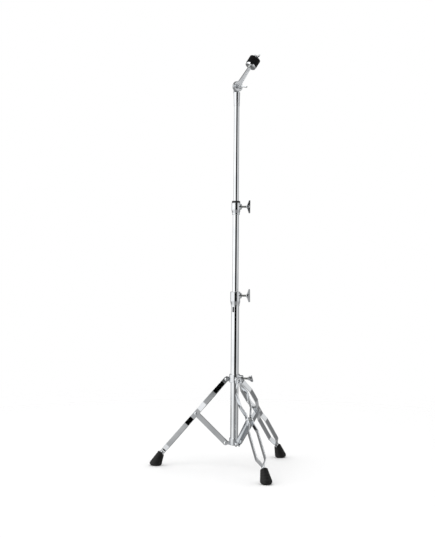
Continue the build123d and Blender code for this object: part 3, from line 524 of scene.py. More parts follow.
def captive_nut(name, node, bolt_height, body):
    """Nut inside a boss, in its CAD node's place."""
    low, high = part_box(node)
    nut = hexagon_nut(name, high.x - low.x, high.y - low.y, 4.0 * MM)
    put(nut, Matrix.Translation((low.x, 0, bolt_height)) @ LYING_ALONG_X)
    finish_piece(nut, zinc, body, "zinc_steel", node)


leg_bolt_height = joints["leg_bolt_turn"]["pos_m"][2]
captive_nut("lower_boss_nut", "lower_clamp_nut", lower_bolt_height, "base")
captive_nut("upper_boss_nut", "upper_clamp_nut", upper_bolt_height, "middle_section")
captive_nut("leg_boss_nut", "leg_collar_nut", leg_bolt_height, "sliding_collar")

# ------------------------------------------------------------------ wing bolts
# M8 bolts with a cast T-shaped wing, chromed. The wing is a flat plate that flares out of a round hub to a
# straight outer edge, and is a little thicker at the hub. Its edges are worn smooth by tumbling.
THREAD_RADIUS = 3.9 * MM
THREAD_PITCH = 1.25 * MM


def swept_wing(name, stations, thick, thin):
    """One wing in the XZ plane, from (height, near, far) stations, thinner towards its tip."""
    bpy.ops.object.select_all(action="DESELECT")
    bpy.ops.mesh.primitive_cube_add(size=1, location=(0, 0, 0))
    piece = bpy.context.object
    piece.name = name
    first, near, far = stations[0]
    width = far - near
    middle = (far + near) / 2
    bpy.ops.object.mode_set(mode="EDIT")
    bpy.ops.mesh.select_all(action="SELECT")
    bpy.ops.transform.resize(value=(width, thick, 0.001 * MM))
    bpy.ops.transform.translate(value=(middle, 0, first))
    bpy.ops.mesh.select_all(action="DESELECT")
    bpy.ops.object.mode_set(mode="OBJECT")
    for polygon in piece.data.polygons:
        polygon.select = polygon.normal.z > 0.5
    bpy.ops.object.mode_set(mode="EDIT")
    depth = thick
    height = first
    for index, (next_height, near, far) in enumerate(stations[1:], start=1):
        share = index / (len(stations) - 1)
        next_depth = thick + (thin - thick) * share
        next_width = far - near
        next_middle = (far + near) / 2
        bpy.ops.mesh.extrude_region_move(
            TRANSFORM_OT_translate={"value": (next_middle - middle, 0, next_height - height)})
        bpy.ops.transform.resize(value=(next_width / width, next_depth / depth, 1),
                                 center_override=(next_middle, 0, next_height))
        width, middle, depth, height = next_width, next_middle, next_depth, next_height
    bpy.ops.mesh.select_all(action="SELECT")
    bpy.ops.mesh.normals_make_consistent(inside=False)
    bpy.ops.object.mode_set(mode="OBJECT")
    return piece


def mirrored(piece):
    """Adds the other wing, below the XY plane, as one mesh with the first."""
    pick(piece)
    bpy.ops.object.mode_set(mode="EDIT")
    bpy.ops.mesh.select_all(action="DESELECT")
    bpy.ops.object.mode_set(mode="OBJECT")
    lowest = min(vertex.co.z for vertex in piece.data.vertices)
    for polygon in piece.data.polygons:
        polygon.select = all(piece.data.vertices[v].co.z < lowest + 0.002 * MM for v in polygon.vertices)
    bpy.ops.object.mode_set(mode="EDIT")
    bpy.ops.mesh.delete(type="FACE")
    bpy.ops.object.mode_set(mode="OBJECT")
    use_modifier(piece, "MIRROR", use_axis=(False, False, True), use_mirror_merge=True,
                 merge_threshold=0.01 * MM)


def threaded_rod(name, start, end):
    """Rod along Z with the ridges of an M8 thread and a chamfered start."""
    root = THREAD_RADIUS - 0.62 * MM
    rings = [(POLE, start), (root, start), (root + 0.1 * MM, start + 0.2 * MM)]
    turns = int((end - start - 1.0 * MM) / THREAD_PITCH)
    for index in range(turns):
        here = start + 0.5 * MM + index * THREAD_PITCH
        rings += [(root, here), (THREAD_RADIUS, here + 0.45 * THREAD_PITCH),
                  (THREAD_RADIUS, here + 0.60 * THREAD_PITCH)]
    rings += [(root, start + 0.5 * MM + turns * THREAD_PITCH), (root, end), (POLE, end)]
    return turned(name, rings, 40)


def wing_bolt(name, node, bolt_height, depth, turn, body):
    """Bolt along +X with its wing upright, then turned about its own axis."""
    low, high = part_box(node)
    start = high.x - depth
    flare = ((0.0, 0.02, 1.0), (5.5, 0.06, 1.0), (8.5, 0.18, 1.0), (14.0, 0.34, 1.0), (19.0, 0.46, 1.0),
             (22.4, 0.52, 1.0), (23.4, 0.62, 0.92))
    stations = [(height * MM, start + near * depth, start + far * depth) for height, near, far in flare]
    wing = swept_wing(name, stations, 6.2 * MM, 5.2 * MM)
    mirrored(wing)
    hub_radius = 6.5 * MM
    hub = turned("hub", [
        (POLE, start), (hub_radius - 1.2 * MM, start), (hub_radius - 0.2 * MM, start + 0.8 * MM),
        (hub_radius, start + 2.2 * MM), (hub_radius - 0.6 * MM, start + 0.62 * depth),
        (hub_radius - 2.2 * MM, start + 0.84 * depth), (POLE, start + 0.88 * depth)], 48)
    put(hub, LYING_ALONG_X)
    merge(wing, hub)
    use_modifier(wing, "REMESH", mode="VOXEL", voxel_size=0.42 * MM, use_smooth_shade=True)
    use_modifier(wing, "SMOOTH", factor=0.5, iterations=6)
    put(wing, Matrix.Translation((0, 0, bolt_height)) @ Matrix.Rotation(turn, 4, "X"))
    finish_piece(wing, chromed_casting, body, "chromed_casting", node, smooth=60.0)
    shank = threaded_rod(name + "_screw", low.x, start + 1.5 * MM)
    put(shank, Matrix.Translation((0, 0, bolt_height)) @ LYING_ALONG_X)
    finish_piece(shank, zinc, body, "zinc_steel")


wing_bolt("lower_wing_bolt", "lower_clamp_bolt", lower_bolt_height, 13 * MM, math.radians(8), "lower_bolt")
wing_bolt("upper_wing_bolt", "upper_clamp_bolt", upper_bolt_height, 13 * MM, math.radians(-6), "upper_bolt")
wing_bolt("leg_wing_bolt", "leg_collar_bolt", leg_bolt_height, 16 * MM, math.radians(60), "leg_bolt")

# ------------------------------------------------------------------ brace collar
# Cast ring pressed on the foot of the base tube, with a lug for each brace. It is chromed in one piece,
# and each lug is drilled for a chromed steel rivet with a domed head at each end.
LEG_AZIMUTHS = [math.pi, -math.pi / 3, math.pi / 3]
RIVET_RADIUS = 3.0 * MM
RIVET_HEAD = 5.5 * MM
RIVET_DOME = 2.4 * MM
RING_THICK = {"brace_collar": 3.7 * MM, "leg_collar": 4.95 * MM}


def axes_at(origin, x_way, z_way):
    """Frame with its X and Z axes along the given directions."""
    x_axis = Vector(x_way).normalized()
    z_axis = Vector(z_way).normalized()
    turn = Matrix((x_axis, z_axis.cross(x_axis), z_axis)).transposed().to_4x4()
    return Matrix.Translation(origin) @ turn


def leg_axes(azimuth, out, height, from_up=math.pi / 2):
    """Frame of a bar in a leg's plane: X along the bar, Z across it."""
    way = Vector((math.cos(azimuth), math.sin(azimuth), 0.0))
    bar = way * math.sin(from_up) + Vector((0, 0, math.cos(from_up)))
    return axes_at(way * out + Vector((0, 0, height)), bar, (math.sin(azimuth), -math.cos(azimuth), 0))


def drill_pin_hole(piece, radius, half_length, place):
    """Drills a rivet's hole through a piece, along the Z axis of a frame."""
    drill = turned("drill", [(POLE, -half_length), (radius, -half_length), (radius, half_length),
                             (POLE, half_length)], 40)
    put(drill, place)
    merge(piece, drill, "DIFFERENCE")


def bevel_chosen(piece, width, segments, only_along):
    """Bevels the chosen edges that run along one axis."""
    mesh = piece.data
    for line in mesh.edges:
        first, second = (mesh.vertices[v].co for v in line.vertices)
        along = second - first
        line.select = line.select and abs(along[only_along]) > 0.99 * along.length
    chosen = [line.index for line in mesh.edges if line.select]
    pick(piece)
    bpy.ops.object.mode_set(mode="EDIT")
    bpy.ops.mesh.select_mode(type="EDGE")
    bpy.ops.mesh.select_all(action="DESELECT")
    bpy.ops.object.mode_set(mode="OBJECT")
    for index in chosen:
        mesh.edges[index].select = True
    bpy.ops.object.mode_set(mode="EDIT")
    bpy.ops.mesh.bevel(offset=width, segments=segments, affect="EDGES")
    bpy.ops.mesh.select_all(action="SELECT")
    bpy.ops.mesh.remove_doubles(threshold=0.01 * MM)
    bpy.ops.mesh.select_mode(type="VERT")
    bpy.ops.object.mode_set(mode="OBJECT")


def lugged_ring(name, bore, node, pivot_out, pivot_height, lug_half, lug_end):
    """Ring with three drilled lugs."""
    low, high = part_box(node)
    outer = base_radius + RING_THICK[node]
    edge = 1.2 * MM
    ring = turned(name, [(bore, low.z), (outer - edge, low.z), (outer - 0.35 * edge, low.z + 0.35 * edge),
                         (outer, low.z + edge), (outer, high.z - edge),
                         (outer - 0.35 * edge, high.z - 0.35 * edge), (outer - edge, high.z), (bore, high.z)])
    for azimuth in LEG_AZIMUTHS:
        lug = block("lug", (bore + 1.2 * MM - pivot_out, -lug_end, -lug_half), (lug_end, lug_end, lug_half))
        rounded = [vertex.co.x > 0 for vertex in lug.data.vertices]
        for edge_line in lug.data.edges:
            edge_line.select = all(rounded[v] for v in edge_line.vertices)
        bevel_chosen(lug, lug_end * 0.999, 10, only_along=2)
        put(lug, leg_axes(azimuth, pivot_out, pivot_height))
        merge(ring, lug)
    for azimuth in LEG_AZIMUTHS:
        drill_pin_hole(ring, RIVET_RADIUS, 20 * MM, leg_axes(azimuth, pivot_out, pivot_height))
    return ring


def rivet(name, half_grip, radius, head_radius, head):
    """Rivet along Z with a low domed head at both ends."""
    rings = [(POLE, -half_grip - head), (0.35 * head_radius, -half_grip - head),
             (0.66 * head_radius, -half_grip - 0.86 * head), (0.88 * head_radius, -half_grip - 0.58 * head),
             (head_radius, -half_grip - 0.2 * head), (head_radius, -half_grip), (radius, -half_grip)]
    return turned(name, rings + [(r, -height) for r, height in reversed(rings)], 40)


def join_all(name, parts):
    """Makes one object of several."""
    bpy.ops.object.select_all(action="DESELECT")
    for part in parts:
        part.select_set(True)
    bpy.context.view_layer.objects.active = parts[0]
    bpy.ops.object.join()
    parts[0].name = name
    return parts[0]


def ring_rivets(name, node, body, half_grip, pivot_out, pivot_height):
    """The three rivets of a ring, as one piece."""
    rivets = []
    for azimuth in LEG_AZIMUTHS:
        made = rivet(name, half_grip, RIVET_RADIUS, RIVET_HEAD, RIVET_DOME)
        put(made, leg_axes(azimuth, pivot_out, pivot_height))
        rivets.append(made)
    finish_piece(join_all(name, rivets), chromed_tube, body, "chromed_steel", node)


brace_out = base_radius + 16.7 * MM
brace_height = joints["brace_1_fold"]["pos_m"][2]
brace_ring = lugged_ring("brace_collar_casting", base_radius, "brace_collar", brace_out, brace_height,
                         4.95 * MM, 5.5 * MM)
clean_up(brace_ring)
finish_piece(brace_ring, chromed_casting, "base", "chromed_casting", "brace_collar", smooth=28.0)
ring_rivets("brace_rivets_chromed", "brace_collar_rivets", "base", 6.85 * MM, brace_out, brace_height)

# ------------------------------------------------------------------ leg collar
# Ring that slides on the base tube on a nylon liner and is held by its own wing bolt. A lug for each leg
# stands between the ends of its two strips.
COLLAR_OUT = base_radius + 15.7 * MM
collar_height = joints["collar_slide_hinge"]["pos_m"][2]
liner_radius = base_radius + 2.45 * MM
leg_ring = lugged_ring("leg_collar_casting", liner_radius, "leg_collar", COLLAR_OUT, collar_height,
                       4.25 * MM, 8.0 * MM)
boss_end = base_radius + RING_THICK["leg_collar"] + 11.7 * MM
add_boss(leg_ring, [(BOLT_HOLE, liner_radius + 0.8 * MM), (BOLT_HOLE, boss_end - 0.5 * MM),
                    (4.8 * MM, boss_end), (9.9 * MM, boss_end), (11.0 * MM, boss_end - 0.6 * MM),
                    (11.5 * MM, boss_end - 1.8 * MM), (11.5 * MM, liner_radius + 0.8 * MM)], leg_bolt_height)
drill_bolt_hole(leg_ring, leg_bolt_height, boss_end + 1 * MM)
clean_up(leg_ring)
finish_piece(leg_ring, chromed_casting, "sliding_collar", "chromed_casting", "leg_collar", smooth=28.0)

low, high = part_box("leg_collar_liner")
liner = turned("leg_collar_liner_nylon", tube_rings(high.x, high.x - 1.5 * MM, low.z, high.z, 0.5 * MM))
drill_bolt_hole(liner, leg_bolt_height, boss_end)
finish_piece(liner, nylon, "sliding_collar", "black_nylon", "leg_collar_liner")
ring_rivets("collar_rivets_chromed", "leg_collar_rivets", "sliding_collar", 8.95 * MM, COLLAR_OUT,
            collar_height)

# ------------------------------------------------------------------ leg strips
# Each leg is two flat bars, 18 by 3 mm, rolled with soft edges, bent on a press so that they bow apart
# above and below the knee, drilled, and chromed along their length.
chromed_strip = chrome_plate("chrome_plate_on_bent_flat_bar", ("#D9DCDF", "#EAECEE"), 0.10, 0.045,
                             0.5, "Z", 26.0, 0.016)
knee_place = Vector(joints["leg_1_knee"]["pos_m"])
leg_run = -knee_place.x - COLLAR_OUT
leg_drop = collar_height - knee_place.z
LEG_ANGLE = math.atan2(leg_run, leg_drop)
KNEE_AT = math.hypot(leg_run, leg_drop)
LEG_END_HEIGHT = 23 * MM
LEG_LENGTH = (collar_height - LEG_END_HEIGHT) / math.cos(LEG_ANGLE)
FOOT_GRIP = 30 * MM
NECK_AT = LEG_LENGTH - FOOT_GRIP
STRIP_WIDE = 18 * MM
STRIP_THICK = 3 * MM
TOP_SPREAD = 6.6 * MM
UPPER_BOW = 20.5 * MM
KNEE_SPREAD = 8.55 * MM
LOWER_BOW = 16.5 * MM
FOOT_SPREAD = 1.5 * MM


def bent_path(corners, radius, steps):
    """Points along a polyline with rounded corners, as (along, out, slope)."""
    points = [(corners[0][0], corners[0][1], 0.0)]
    for before, corner, after in zip(corners, corners[1:], corners[2:]):
        first = math.atan2(corner[1] - before[1], corner[0] - before[0])
        second = math.atan2(after[1] - corner[1], after[0] - corner[0])
        turn = second - first
        reach = radius * math.tan(abs(turn) / 2)
        start = (corner[0] - reach * math.cos(first), corner[1] - reach * math.sin(first))
        side = math.copysign(1.0, turn)
        middle = (start[0] - side * radius * math.sin(first), start[1] + side * radius * math.cos(first))
        for step in range(steps + 1):
            slope = first + turn * step / steps
            points.append((middle[0] + side * radius * math.sin(slope),
                           middle[1] - side * radius * math.cos(slope), slope))
    points.append((corners[-1][0], corners[-1][1], points[-1][2]))
    return points


def swept_bar(name, points, wide, thick):
    """Flat bar along X, bowed towards +Z, through (along, out, slope) points."""
    bpy.ops.object.select_all(action="DESELECT")
    bpy.ops.mesh.primitive_plane_add(size=1, location=(0, 0, 0), rotation=(0, math.pi / 2, 0))
    piece = bpy.context.object
    piece.name = name
    bpy.ops.object.transform_apply(location=False, rotation=True, scale=False)
    along, out, slope = points[0]
    bpy.ops.object.mode_set(mode="EDIT")
    bpy.ops.mesh.select_all(action="SELECT")
    bpy.ops.transform.resize(value=(1, wide, thick), center_override=(0, 0, 0))
    bpy.ops.transform.translate(value=(along, 0, out))
    for next_along, next_out, next_slope in points[1:]:
        bpy.ops.mesh.extrude_region_move(
            TRANSFORM_OT_translate={"value": (next_along - along, 0, next_out - out)})
        if abs(next_slope - slope) > 1e-6:
            bpy.ops.transform.rotate(value=next_slope - slope, orient_axis="Y",
                                     center_override=(next_along, 0, next_out))
        along, out, slope = next_along, next_out, next_slope
    bpy.ops.mesh.select_all(action="SELECT")
    bpy.ops.mesh.normals_make_consistent(inside=False)
    bpy.ops.object.mode_set(mode="OBJECT")
    return piece


def copy_of(piece, name):
    """A second object like a piece."""
    pick(piece)
    bpy.ops.object.duplicate()
    made = bpy.context.object
    made.name = name
    return made


strip_corners = [(-STRIP_WIDE / 2, TOP_SPREAD), (18 * MM, TOP_SPREAD), (60 * MM, UPPER_BOW),
                 (KNEE_AT - 53 * MM, UPPER_BOW), (KNEE_AT - 19 * MM, KNEE_SPREAD),
                 (KNEE_AT + 22 * MM, KNEE_SPREAD), (KNEE_AT + 48 * MM, LOWER_BOW),
                 (NECK_AT - 40 * MM, LOWER_BOW), (NECK_AT - 14 * MM, FOOT_SPREAD), (LEG_LENGTH, FOOT_SPREAD)]


def leg_strip(name, top_hole):
    """One strip in its leg's frame, on the +Z side."""
    strip = swept_bar(name, bent_path(strip_corners, 12 * MM, 6), STRIP_WIDE, STRIP_THICK)
    top = block("top", (-12 * MM, -12 * MM, 0), (0, 12 * MM, 12 * MM))
    eye = turned("eye", [(POLE, -1 * MM), (STRIP_WIDE / 2, -1 * MM), (STRIP_WIDE / 2, 13 * MM),
                         (POLE, 13 * MM)], 64)
    merge(top, eye, "DIFFERENCE")
    merge(strip, top, "DIFFERENCE")
    for along, radius in ((0.0, top_hole), (KNEE_AT, RIVET_RADIUS)):
        drill_pin_hole(strip, radius, 30 * MM, Matrix.Translation((along, 0, 0)))
    clean_up(strip)
    round_edges(strip, 0.85 * MM, 3, 50.0)
    return strip


for number, azimuth in enumerate(LEG_AZIMUTHS, start=1):
    leg = f"leg_{number}"
    frame_of_leg = leg_axes(azimuth, COLLAR_OUT, collar_height, math.pi - LEG_ANGLE)
    knee = frame_of_leg @ Matrix.Translation((KNEE_AT, 0, 0))
    far_side = leg_strip(leg + "_strip_left", 3.05 * MM if number == 1 else 4.6 * MM)
    near_side = copy_of(far_side, leg + "_strip_right")
    put(near_side, Matrix.Rotation(math.pi, 4, "X"))
    put(far_side, frame_of_leg)
    put(near_side, frame_of_leg)
    finish_piece(far_side, chromed_strip, leg, "chromed_steel", leg + "_left_strip")
    finish_piece(near_side, chromed_strip, leg, "chromed_steel", leg + "_right_strip")
    knee_grip = KNEE_SPREAD + STRIP_THICK / 2
    knee_rivet = rivet(f"knee_rivet_{number}", knee_grip, RIVET_RADIUS, RIVET_HEAD, RIVET_DOME)
    put(knee_rivet, knee)
    finish_piece(knee_rivet, chromed_strip, leg, "chromed_steel", leg + "_knee_rivet")
    spacer_rings = tube_rings(5.0 * MM, RIVET_RADIUS, -5.15 * MM, 5.15 * MM, 0.3 * MM)
    spacer = turned(f"knee_spacer_{number}", spacer_rings, 40)
    put(spacer, knee)
    finish_piece(spacer, zinc, leg, "zinc_steel", leg + "_knee_spacer")
    foot_rivet = rivet(f"foot_rivet_{number}", STRIP_THICK, 2.5 * MM, 4.5 * MM, 1.8 * MM)
    put(foot_rivet, frame_of_leg @ Matrix.Translation((NECK_AT - 6.5 * MM, 0, 0)))
    finish_piece(foot_rivet, chromed_strip, leg, "chromed_steel", leg + "_foot_rivet")

# ------------------------------------------------------------------ braces
# Folded from 1.6 mm sheet into a channel whose back faces the tube, with round ends, then chromed. The
# back is cut short at the bottom, to clear the lug.
BRACE_ANGLE = math.atan2(-knee_place.x - brace_out, knee_place.z - brace_height)
BRACE_LENGTH = math.hypot(-knee_place.x - brace_out, knee_place.z - brace_height)


def brace_channel(name):
    """Channel in its own frame: X up the brace, back on the side of +Y."""
    half = 8.5 * MM
    wide = 6.8 * MM
    inside = 5.2 * MM
    bar = block(name, (-half, -half, -wide), (BRACE_LENGTH + half, half, wide))
    for line in bar.data.edges:
        line.select = True
    bevel_chosen(bar, half * 0.999, 12, only_along=2)
    hollow = block("hollow", (-20 * MM, -10 * MM, -inside), (BRACE_LENGTH + 20 * MM, half - 1.6 * MM, inside))
    merge(bar, hollow, "DIFFERENCE")
    merge(bar, block("cutaway", (-14 * MM, 0, -inside), (14 * MM, 12 * MM, inside)), "DIFFERENCE")
    for along in (0.0, BRACE_LENGTH):
        drill_pin_hole(bar, RIVET_RADIUS + 0.05 * MM, 20 * MM, Matrix.Translation((along, 0, 0)))
    clean_up(bar)
    round_edges(bar, 0.5 * MM, 2, 40.0)
    return bar


for number, azimuth in enumerate(LEG_AZIMUTHS, start=1):
    channel = brace_channel(f"brace_{number}_channel")
    put(channel, leg_axes(azimuth, brace_out, brace_height, BRACE_ANGLE))
    finish_piece(channel, chromed_strip, f"brace_arm_{number}", "chromed_steel", f"brace_{number}",
                 smooth=28.0)

# ------------------------------------------------------------------ rubber feet
# Solid black rubber, moulded, with a flat sole, a rounded edge, shallow ribs round the body and a
# pocket that grips the end of the leg.
rubber = moulded("moulded_black_rubber", "#040404", 0.6, 0.9, 0.05, dust="#171716", dust_share=0.08)


def lofted(name, stations, sides):
    """Body through (x, z, half length, half width, tilt) ellipses, each tilted about Y by its angle."""
    bpy.ops.object.select_all(action="DESELECT")
    bpy.ops.mesh.primitive_circle_add(vertices=sides, radius=1 * MM, fill_type="NGON", location=(0, 0, 0))
    piece = bpy.context.object
    piece.name = name
    x, z, long, wide, tilt = stations[0]
    bpy.ops.object.mode_set(mode="EDIT")
    bpy.ops.mesh.select_all(action="SELECT")
    bpy.ops.transform.resize(value=(long / MM, wide / MM, 1), center_override=(0, 0, 0))
    bpy.ops.transform.translate(value=(x, 0, z))
    for next_x, next_z, next_long, next_wide, next_tilt in stations[1:]:
        place = (next_x, 0, next_z)
        bpy.ops.mesh.extrude_region_move(TRANSFORM_OT_translate={"value": (next_x - x, 0, next_z - z)})
        if tilt:
            bpy.ops.transform.rotate(value=-tilt, orient_axis="Y", center_override=place)
        bpy.ops.transform.resize(value=(next_long / long, next_wide / wide, 1), center_override=place)
        if next_tilt:
            bpy.ops.transform.rotate(value=next_tilt, orient_axis="Y", center_override=place)
        x, z, long, wide, tilt = next_x, next_z, next_long, next_wide, next_tilt
    bpy.ops.mesh.select_all(action="SELECT")
    bpy.ops.mesh.normals_make_consistent(inside=False)
    bpy.ops.object.mode_set(mode="OBJECT")
    return piece


def foot_stations():
    """Ellipses from the sole to the neck, with the ribs."""
    stations = []
    sole_out = COLLAR_OUT + LEG_LENGTH * math.sin(LEG_ANGLE)
    long, wide, edge, height = 23 * MM, 20.5 * MM, 10 * MM, 12 * MM
    for step in range(7):
        bend = step * math.pi / 12
        shrink = edge * (1 - math.sin(bend))
        stations.append((sole_out, edge * (1 - math.cos(bend)), long - shrink, wide - shrink, 0.0))
    neck = 13 * MM
    neck_x = sole_out - FOOT_GRIP * math.sin(LEG_ANGLE)
    neck_z = LEG_END_HEIGHT + FOOT_GRIP * math.cos(LEG_ANGLE)
    steps = 44
    for step in range(1, steps + 1):
        share = step / steps
        flat = (1 - share) * long + share * neck * math.cos(LEG_ANGLE)
        steep = share * neck * math.sin(LEG_ANGLE)
        in_groove = share < 0.9 and (step % 9) in (0, 1)
        sunk = 0.9 * MM if in_groove else 0.0
        rim = 0.8 * MM if step == steps else 0.0
        stations.append((sole_out + (neck_x - sole_out) * share, height + (neck_z - height) * share,
                         math.hypot(flat, steep) - sunk - rim, wide + (neck - wide) * share - sunk - rim,
                         math.atan2(steep, flat)))
    return stations


for number, azimuth in enumerate(LEG_AZIMUTHS, start=1):
    foot = lofted(f"rubber_foot_moulding_{number}", foot_stations(), 72)
    room_round_leg = 0.1 * MM
    pocket_wide = STRIP_WIDE / 2 + room_round_leg
    pocket_thick = STRIP_THICK + room_round_leg
    pocket = block("pocket", (LEG_LENGTH - 60 * MM, -pocket_wide, -pocket_thick),
                   (LEG_LENGTH + room_round_leg, pocket_wide, pocket_thick))
    put(pocket, leg_axes(0.0, COLLAR_OUT, collar_height, math.pi - LEG_ANGLE))
    merge(foot, pocket, "DIFFERENCE")
    put(foot, Matrix.Rotation(azimuth, 4, "Z"))
    finish_piece(foot, rubber, f"leg_{number}", "black_rubber", f"rubber_foot_{number}", smooth=40.0)

# ------------------------------------------------------------------ tilter
# A turned socket, pinned on the top tube by two small rivets, with a cast ear. The flat cast arm swings
# against it on an M8 bolt, over a nylon friction disc, and a wing nut clamps it.
hinge = Vector(joints["tilter_tilt"]["pos_m"])
hinge_azimuth = math.radians(-55.0)
TILT = math.radians(33.5)
HINGE_WAY = Vector((math.cos(hinge_azimuth), math.sin(hinge_azimuth), 0.0))
TILT_WAY = Vector((-math.sin(hinge_azimuth), math.cos(hinge_azimuth), 0.0))
ARM_WAY = TILT_WAY * math.sin(TILT) + Vector((0, 0, math.cos(TILT)))
upright_axes = axes_at(hinge, (0, 0, 1), HINGE_WAY)
arm_axes = axes_at(hinge, ARM_WAY, HINGE_WAY)

low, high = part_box("tilter_base")
tube_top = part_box("top_tube")[1].z
socket_top = hinge.z - 20.5 * MM
EAR_BACK = -10 * MM
EAR_FRONT = -1 * MM
socket = turned("tilter_socket", [
    (POLE, tube_top), (top_radius, tube_top), (top_radius, low.z), (9.7 * MM, low.z),
    (10.3 * MM, low.z + 0.8 * MM), (10.42 * MM, low.z + 5.0 * MM), (10.2 * MM, low.z + 5.5 * MM),
    (10.45 * MM, low.z + 6.0 * MM), (11.75 * MM, socket_top - 1.4 * MM), (11.4 * MM, socket_top - 0.5 * MM),
    (10.6 * MM, socket_top), (POLE, socket_top)])
cheek = block("cheek", (-21.5 * MM, -10 * MM, EAR_BACK), (0, 10 * MM, EAR_FRONT))
ear = turned("ear", [
    (POLE, EAR_BACK), (13.0 * MM, EAR_BACK), (13.7 * MM, EAR_BACK + 0.3 * MM),
    (14.0 * MM, EAR_BACK + 1.0 * MM), (14.0 * MM, EAR_FRONT - 0.6 * MM), (13.5 * MM, EAR_FRONT),
    (POLE, EAR_FRONT)])
for part in (cheek, ear):
    put(part, upright_axes)
    merge(socket, part)
drill_pin_hole(socket, THREAD_RADIUS, 12 * MM, upright_axes)
clean_up(socket)
finish_piece(socket, chromed_casting, "top_section", "chromed_casting", "tilter_base", smooth=28.0)

small_rivets = []
for drop in (11.0 * MM, 25.0 * MM):
    small_rivet = turned("socket_rivet", [
        (POLE, 9.6 * MM), (1.6 * MM, 9.6 * MM), (1.6 * MM, 10.0 * MM), (2.6 * MM, 10.0 * MM),
        (2.6 * MM, 12.0 * MM), (2.2 * MM, 12.4 * MM), (1.2 * MM, 12.62 * MM), (POLE, 12.65 * MM)], 32)
    put(small_rivet, axes_at((0, 0, tube_top - drop), (0, 0, 1), HINGE_WAY))
    small_rivets.append(small_rivet)
finish_piece(join_all("socket_rivets_chromed", small_rivets), chromed_tube, "top_section", "chromed_steel",
             "tilter_rivets")

disc = turned("friction_disc_nylon", [
    (THREAD_RADIUS, -1 * MM), (13.2 * MM, -1 * MM), (13.5 * MM, -0.7 * MM), (13.5 * MM, 0.7 * MM),
    (13.2 * MM, 1 * MM), (THREAD_RADIUS, 1 * MM)])
put(disc, upright_axes)
finish_piece(disc, nylon, "top_section", "black_nylon", "tilter_friction_disc")

bolt_rings = [(POLE, -15.0 * MM), (4.0 * MM, -14.9 * MM), (6.4 * MM, -14.2 * MM), (7.9 * MM, -12.8 * MM),
              (8.5 * MM, -11.2 * MM), (8.5 * MM, EAR_BACK), (THREAD_RADIUS, EAR_BACK),
              (THREAD_RADIUS, 11.0 * MM)]
for ridge in range(9):
    here = 11.4 * MM + ridge * THREAD_PITCH
    bolt_rings += [(3.3 * MM, here), (THREAD_RADIUS, here + 0.5 * MM), (THREAD_RADIUS, here + 0.75 * MM)]
bolt_rings += [(3.3 * MM, 23.4 * MM), (3.0 * MM, 24.0 * MM), (POLE, 24.0 * MM)]
hinge_bolt = turned("hinge_bolt_chromed", bolt_rings, 48)
put(hinge_bolt, upright_axes)
finish_piece(hinge_bolt, chromed_tube, "top_section", "chromed_steel", "tilter_bolt")


def tapered_bar(name, start, end, half_start, half_end, back, front):
    """Flat bar along X, narrower in Y at its far end."""
    bar = block(name, (start, -half_start, back), (end, half_start, front))
    bpy.ops.object.mode_set(mode="EDIT")
    bpy.ops.mesh.select_mode(type="FACE")
    bpy.ops.mesh.select_all(action="DESELECT")
    bpy.ops.object.mode_set(mode="OBJECT")
    for polygon in bar.data.polygons:
        polygon.select = polygon.normal.x > 0.5
    bpy.ops.object.mode_set(mode="EDIT")
    bpy.ops.transform.resize(value=(1, half_end / half_start, 1), center_override=(end, 0, back))
    bpy.ops.mesh.select_mode(type="VERT")
    bpy.ops.object.mode_set(mode="OBJECT")
    return bar


ARM_BACK = 1.1 * MM
ARM_FRONT = 10.6 * MM
ARM_MIDDLE = (ARM_BACK + ARM_FRONT) / 2
ARM_LENGTH = 85 * MM
PANEL_DEEP = 1.4 * MM
arm = tapered_bar("tilter_arm_casting", 0.0, ARM_LENGTH, 8 * MM, 5 * MM, ARM_BACK, ARM_FRONT)
eye = turned("eye", [(POLE, ARM_BACK), (17.4 * MM, ARM_BACK), (18.6 * MM, ARM_BACK + 0.5 * MM),
                     (19.0 * MM, ARM_BACK + 1.6 * MM), (19.0 * MM, ARM_FRONT - 2.4 * MM),
                     (18.5 * MM, ARM_FRONT - 1.0 * MM), (17.4 * MM, ARM_FRONT - 0.25 * MM),
                     (16.0 * MM, ARM_FRONT), (POLE, ARM_FRONT)], 96)
merge(arm, eye)
for back, front in ((ARM_BACK - 1 * MM, ARM_BACK + PANEL_DEEP),
                    (ARM_FRONT - PANEL_DEEP, ARM_FRONT + 1 * MM)):
    panel = tapered_bar("panel", 24 * MM, 73 * MM, 4.9 * MM, 2.6 * MM, back, front)
    round_edges(panel, 1.15 * MM, 4, 60.0)
    merge(arm, panel, "DIFFERENCE")
drill_pin_hole(arm, THREAD_RADIUS + 0.05 * MM, 12 * MM, Matrix.Identity(4))
clean_up(arm)
round_edges(arm, 1.0 * MM, 3, 40.0)
put(arm, arm_axes)
finish_piece(arm, chromed_casting, "tilter_head", "chromed_casting", "tilter_arm", smooth=28.0)


def wing_nut(name, node, body, seat, hub_radius, hub_length, stations, thick, thin, turn):
    """Cast nut with two flat wings. Its seat is at the origin of the given frame, and its axis is X."""
    wing = swept_wing(name, stations, thick, thin)
    mirrored(wing)
    hub = turned("hub", [(POLE, 0), (hub_radius - 0.4 * MM, 0), (hub_radius, 0.4 * MM),
                         (hub_radius, 0.86 * hub_length), (hub_radius - 0.8 * MM, 0.98 * hub_length),
                         (POLE, hub_length)], 48)
    put(hub, LYING_ALONG_X)
    merge(wing, hub)
    drill_pin_hole(wing, 4.0 * MM, 30 * MM, LYING_ALONG_X)
    use_modifier(wing, "REMESH", mode="VOXEL", voxel_size=0.40 * MM, use_smooth_shade=True)
    use_modifier(wing, "SMOOTH", factor=0.5, iterations=4)
    put(wing, seat @ Matrix.Rotation(turn, 4, "X"))
    finish_piece(wing, chromed_casting, body, "chromed_casting", node, smooth=60.0)


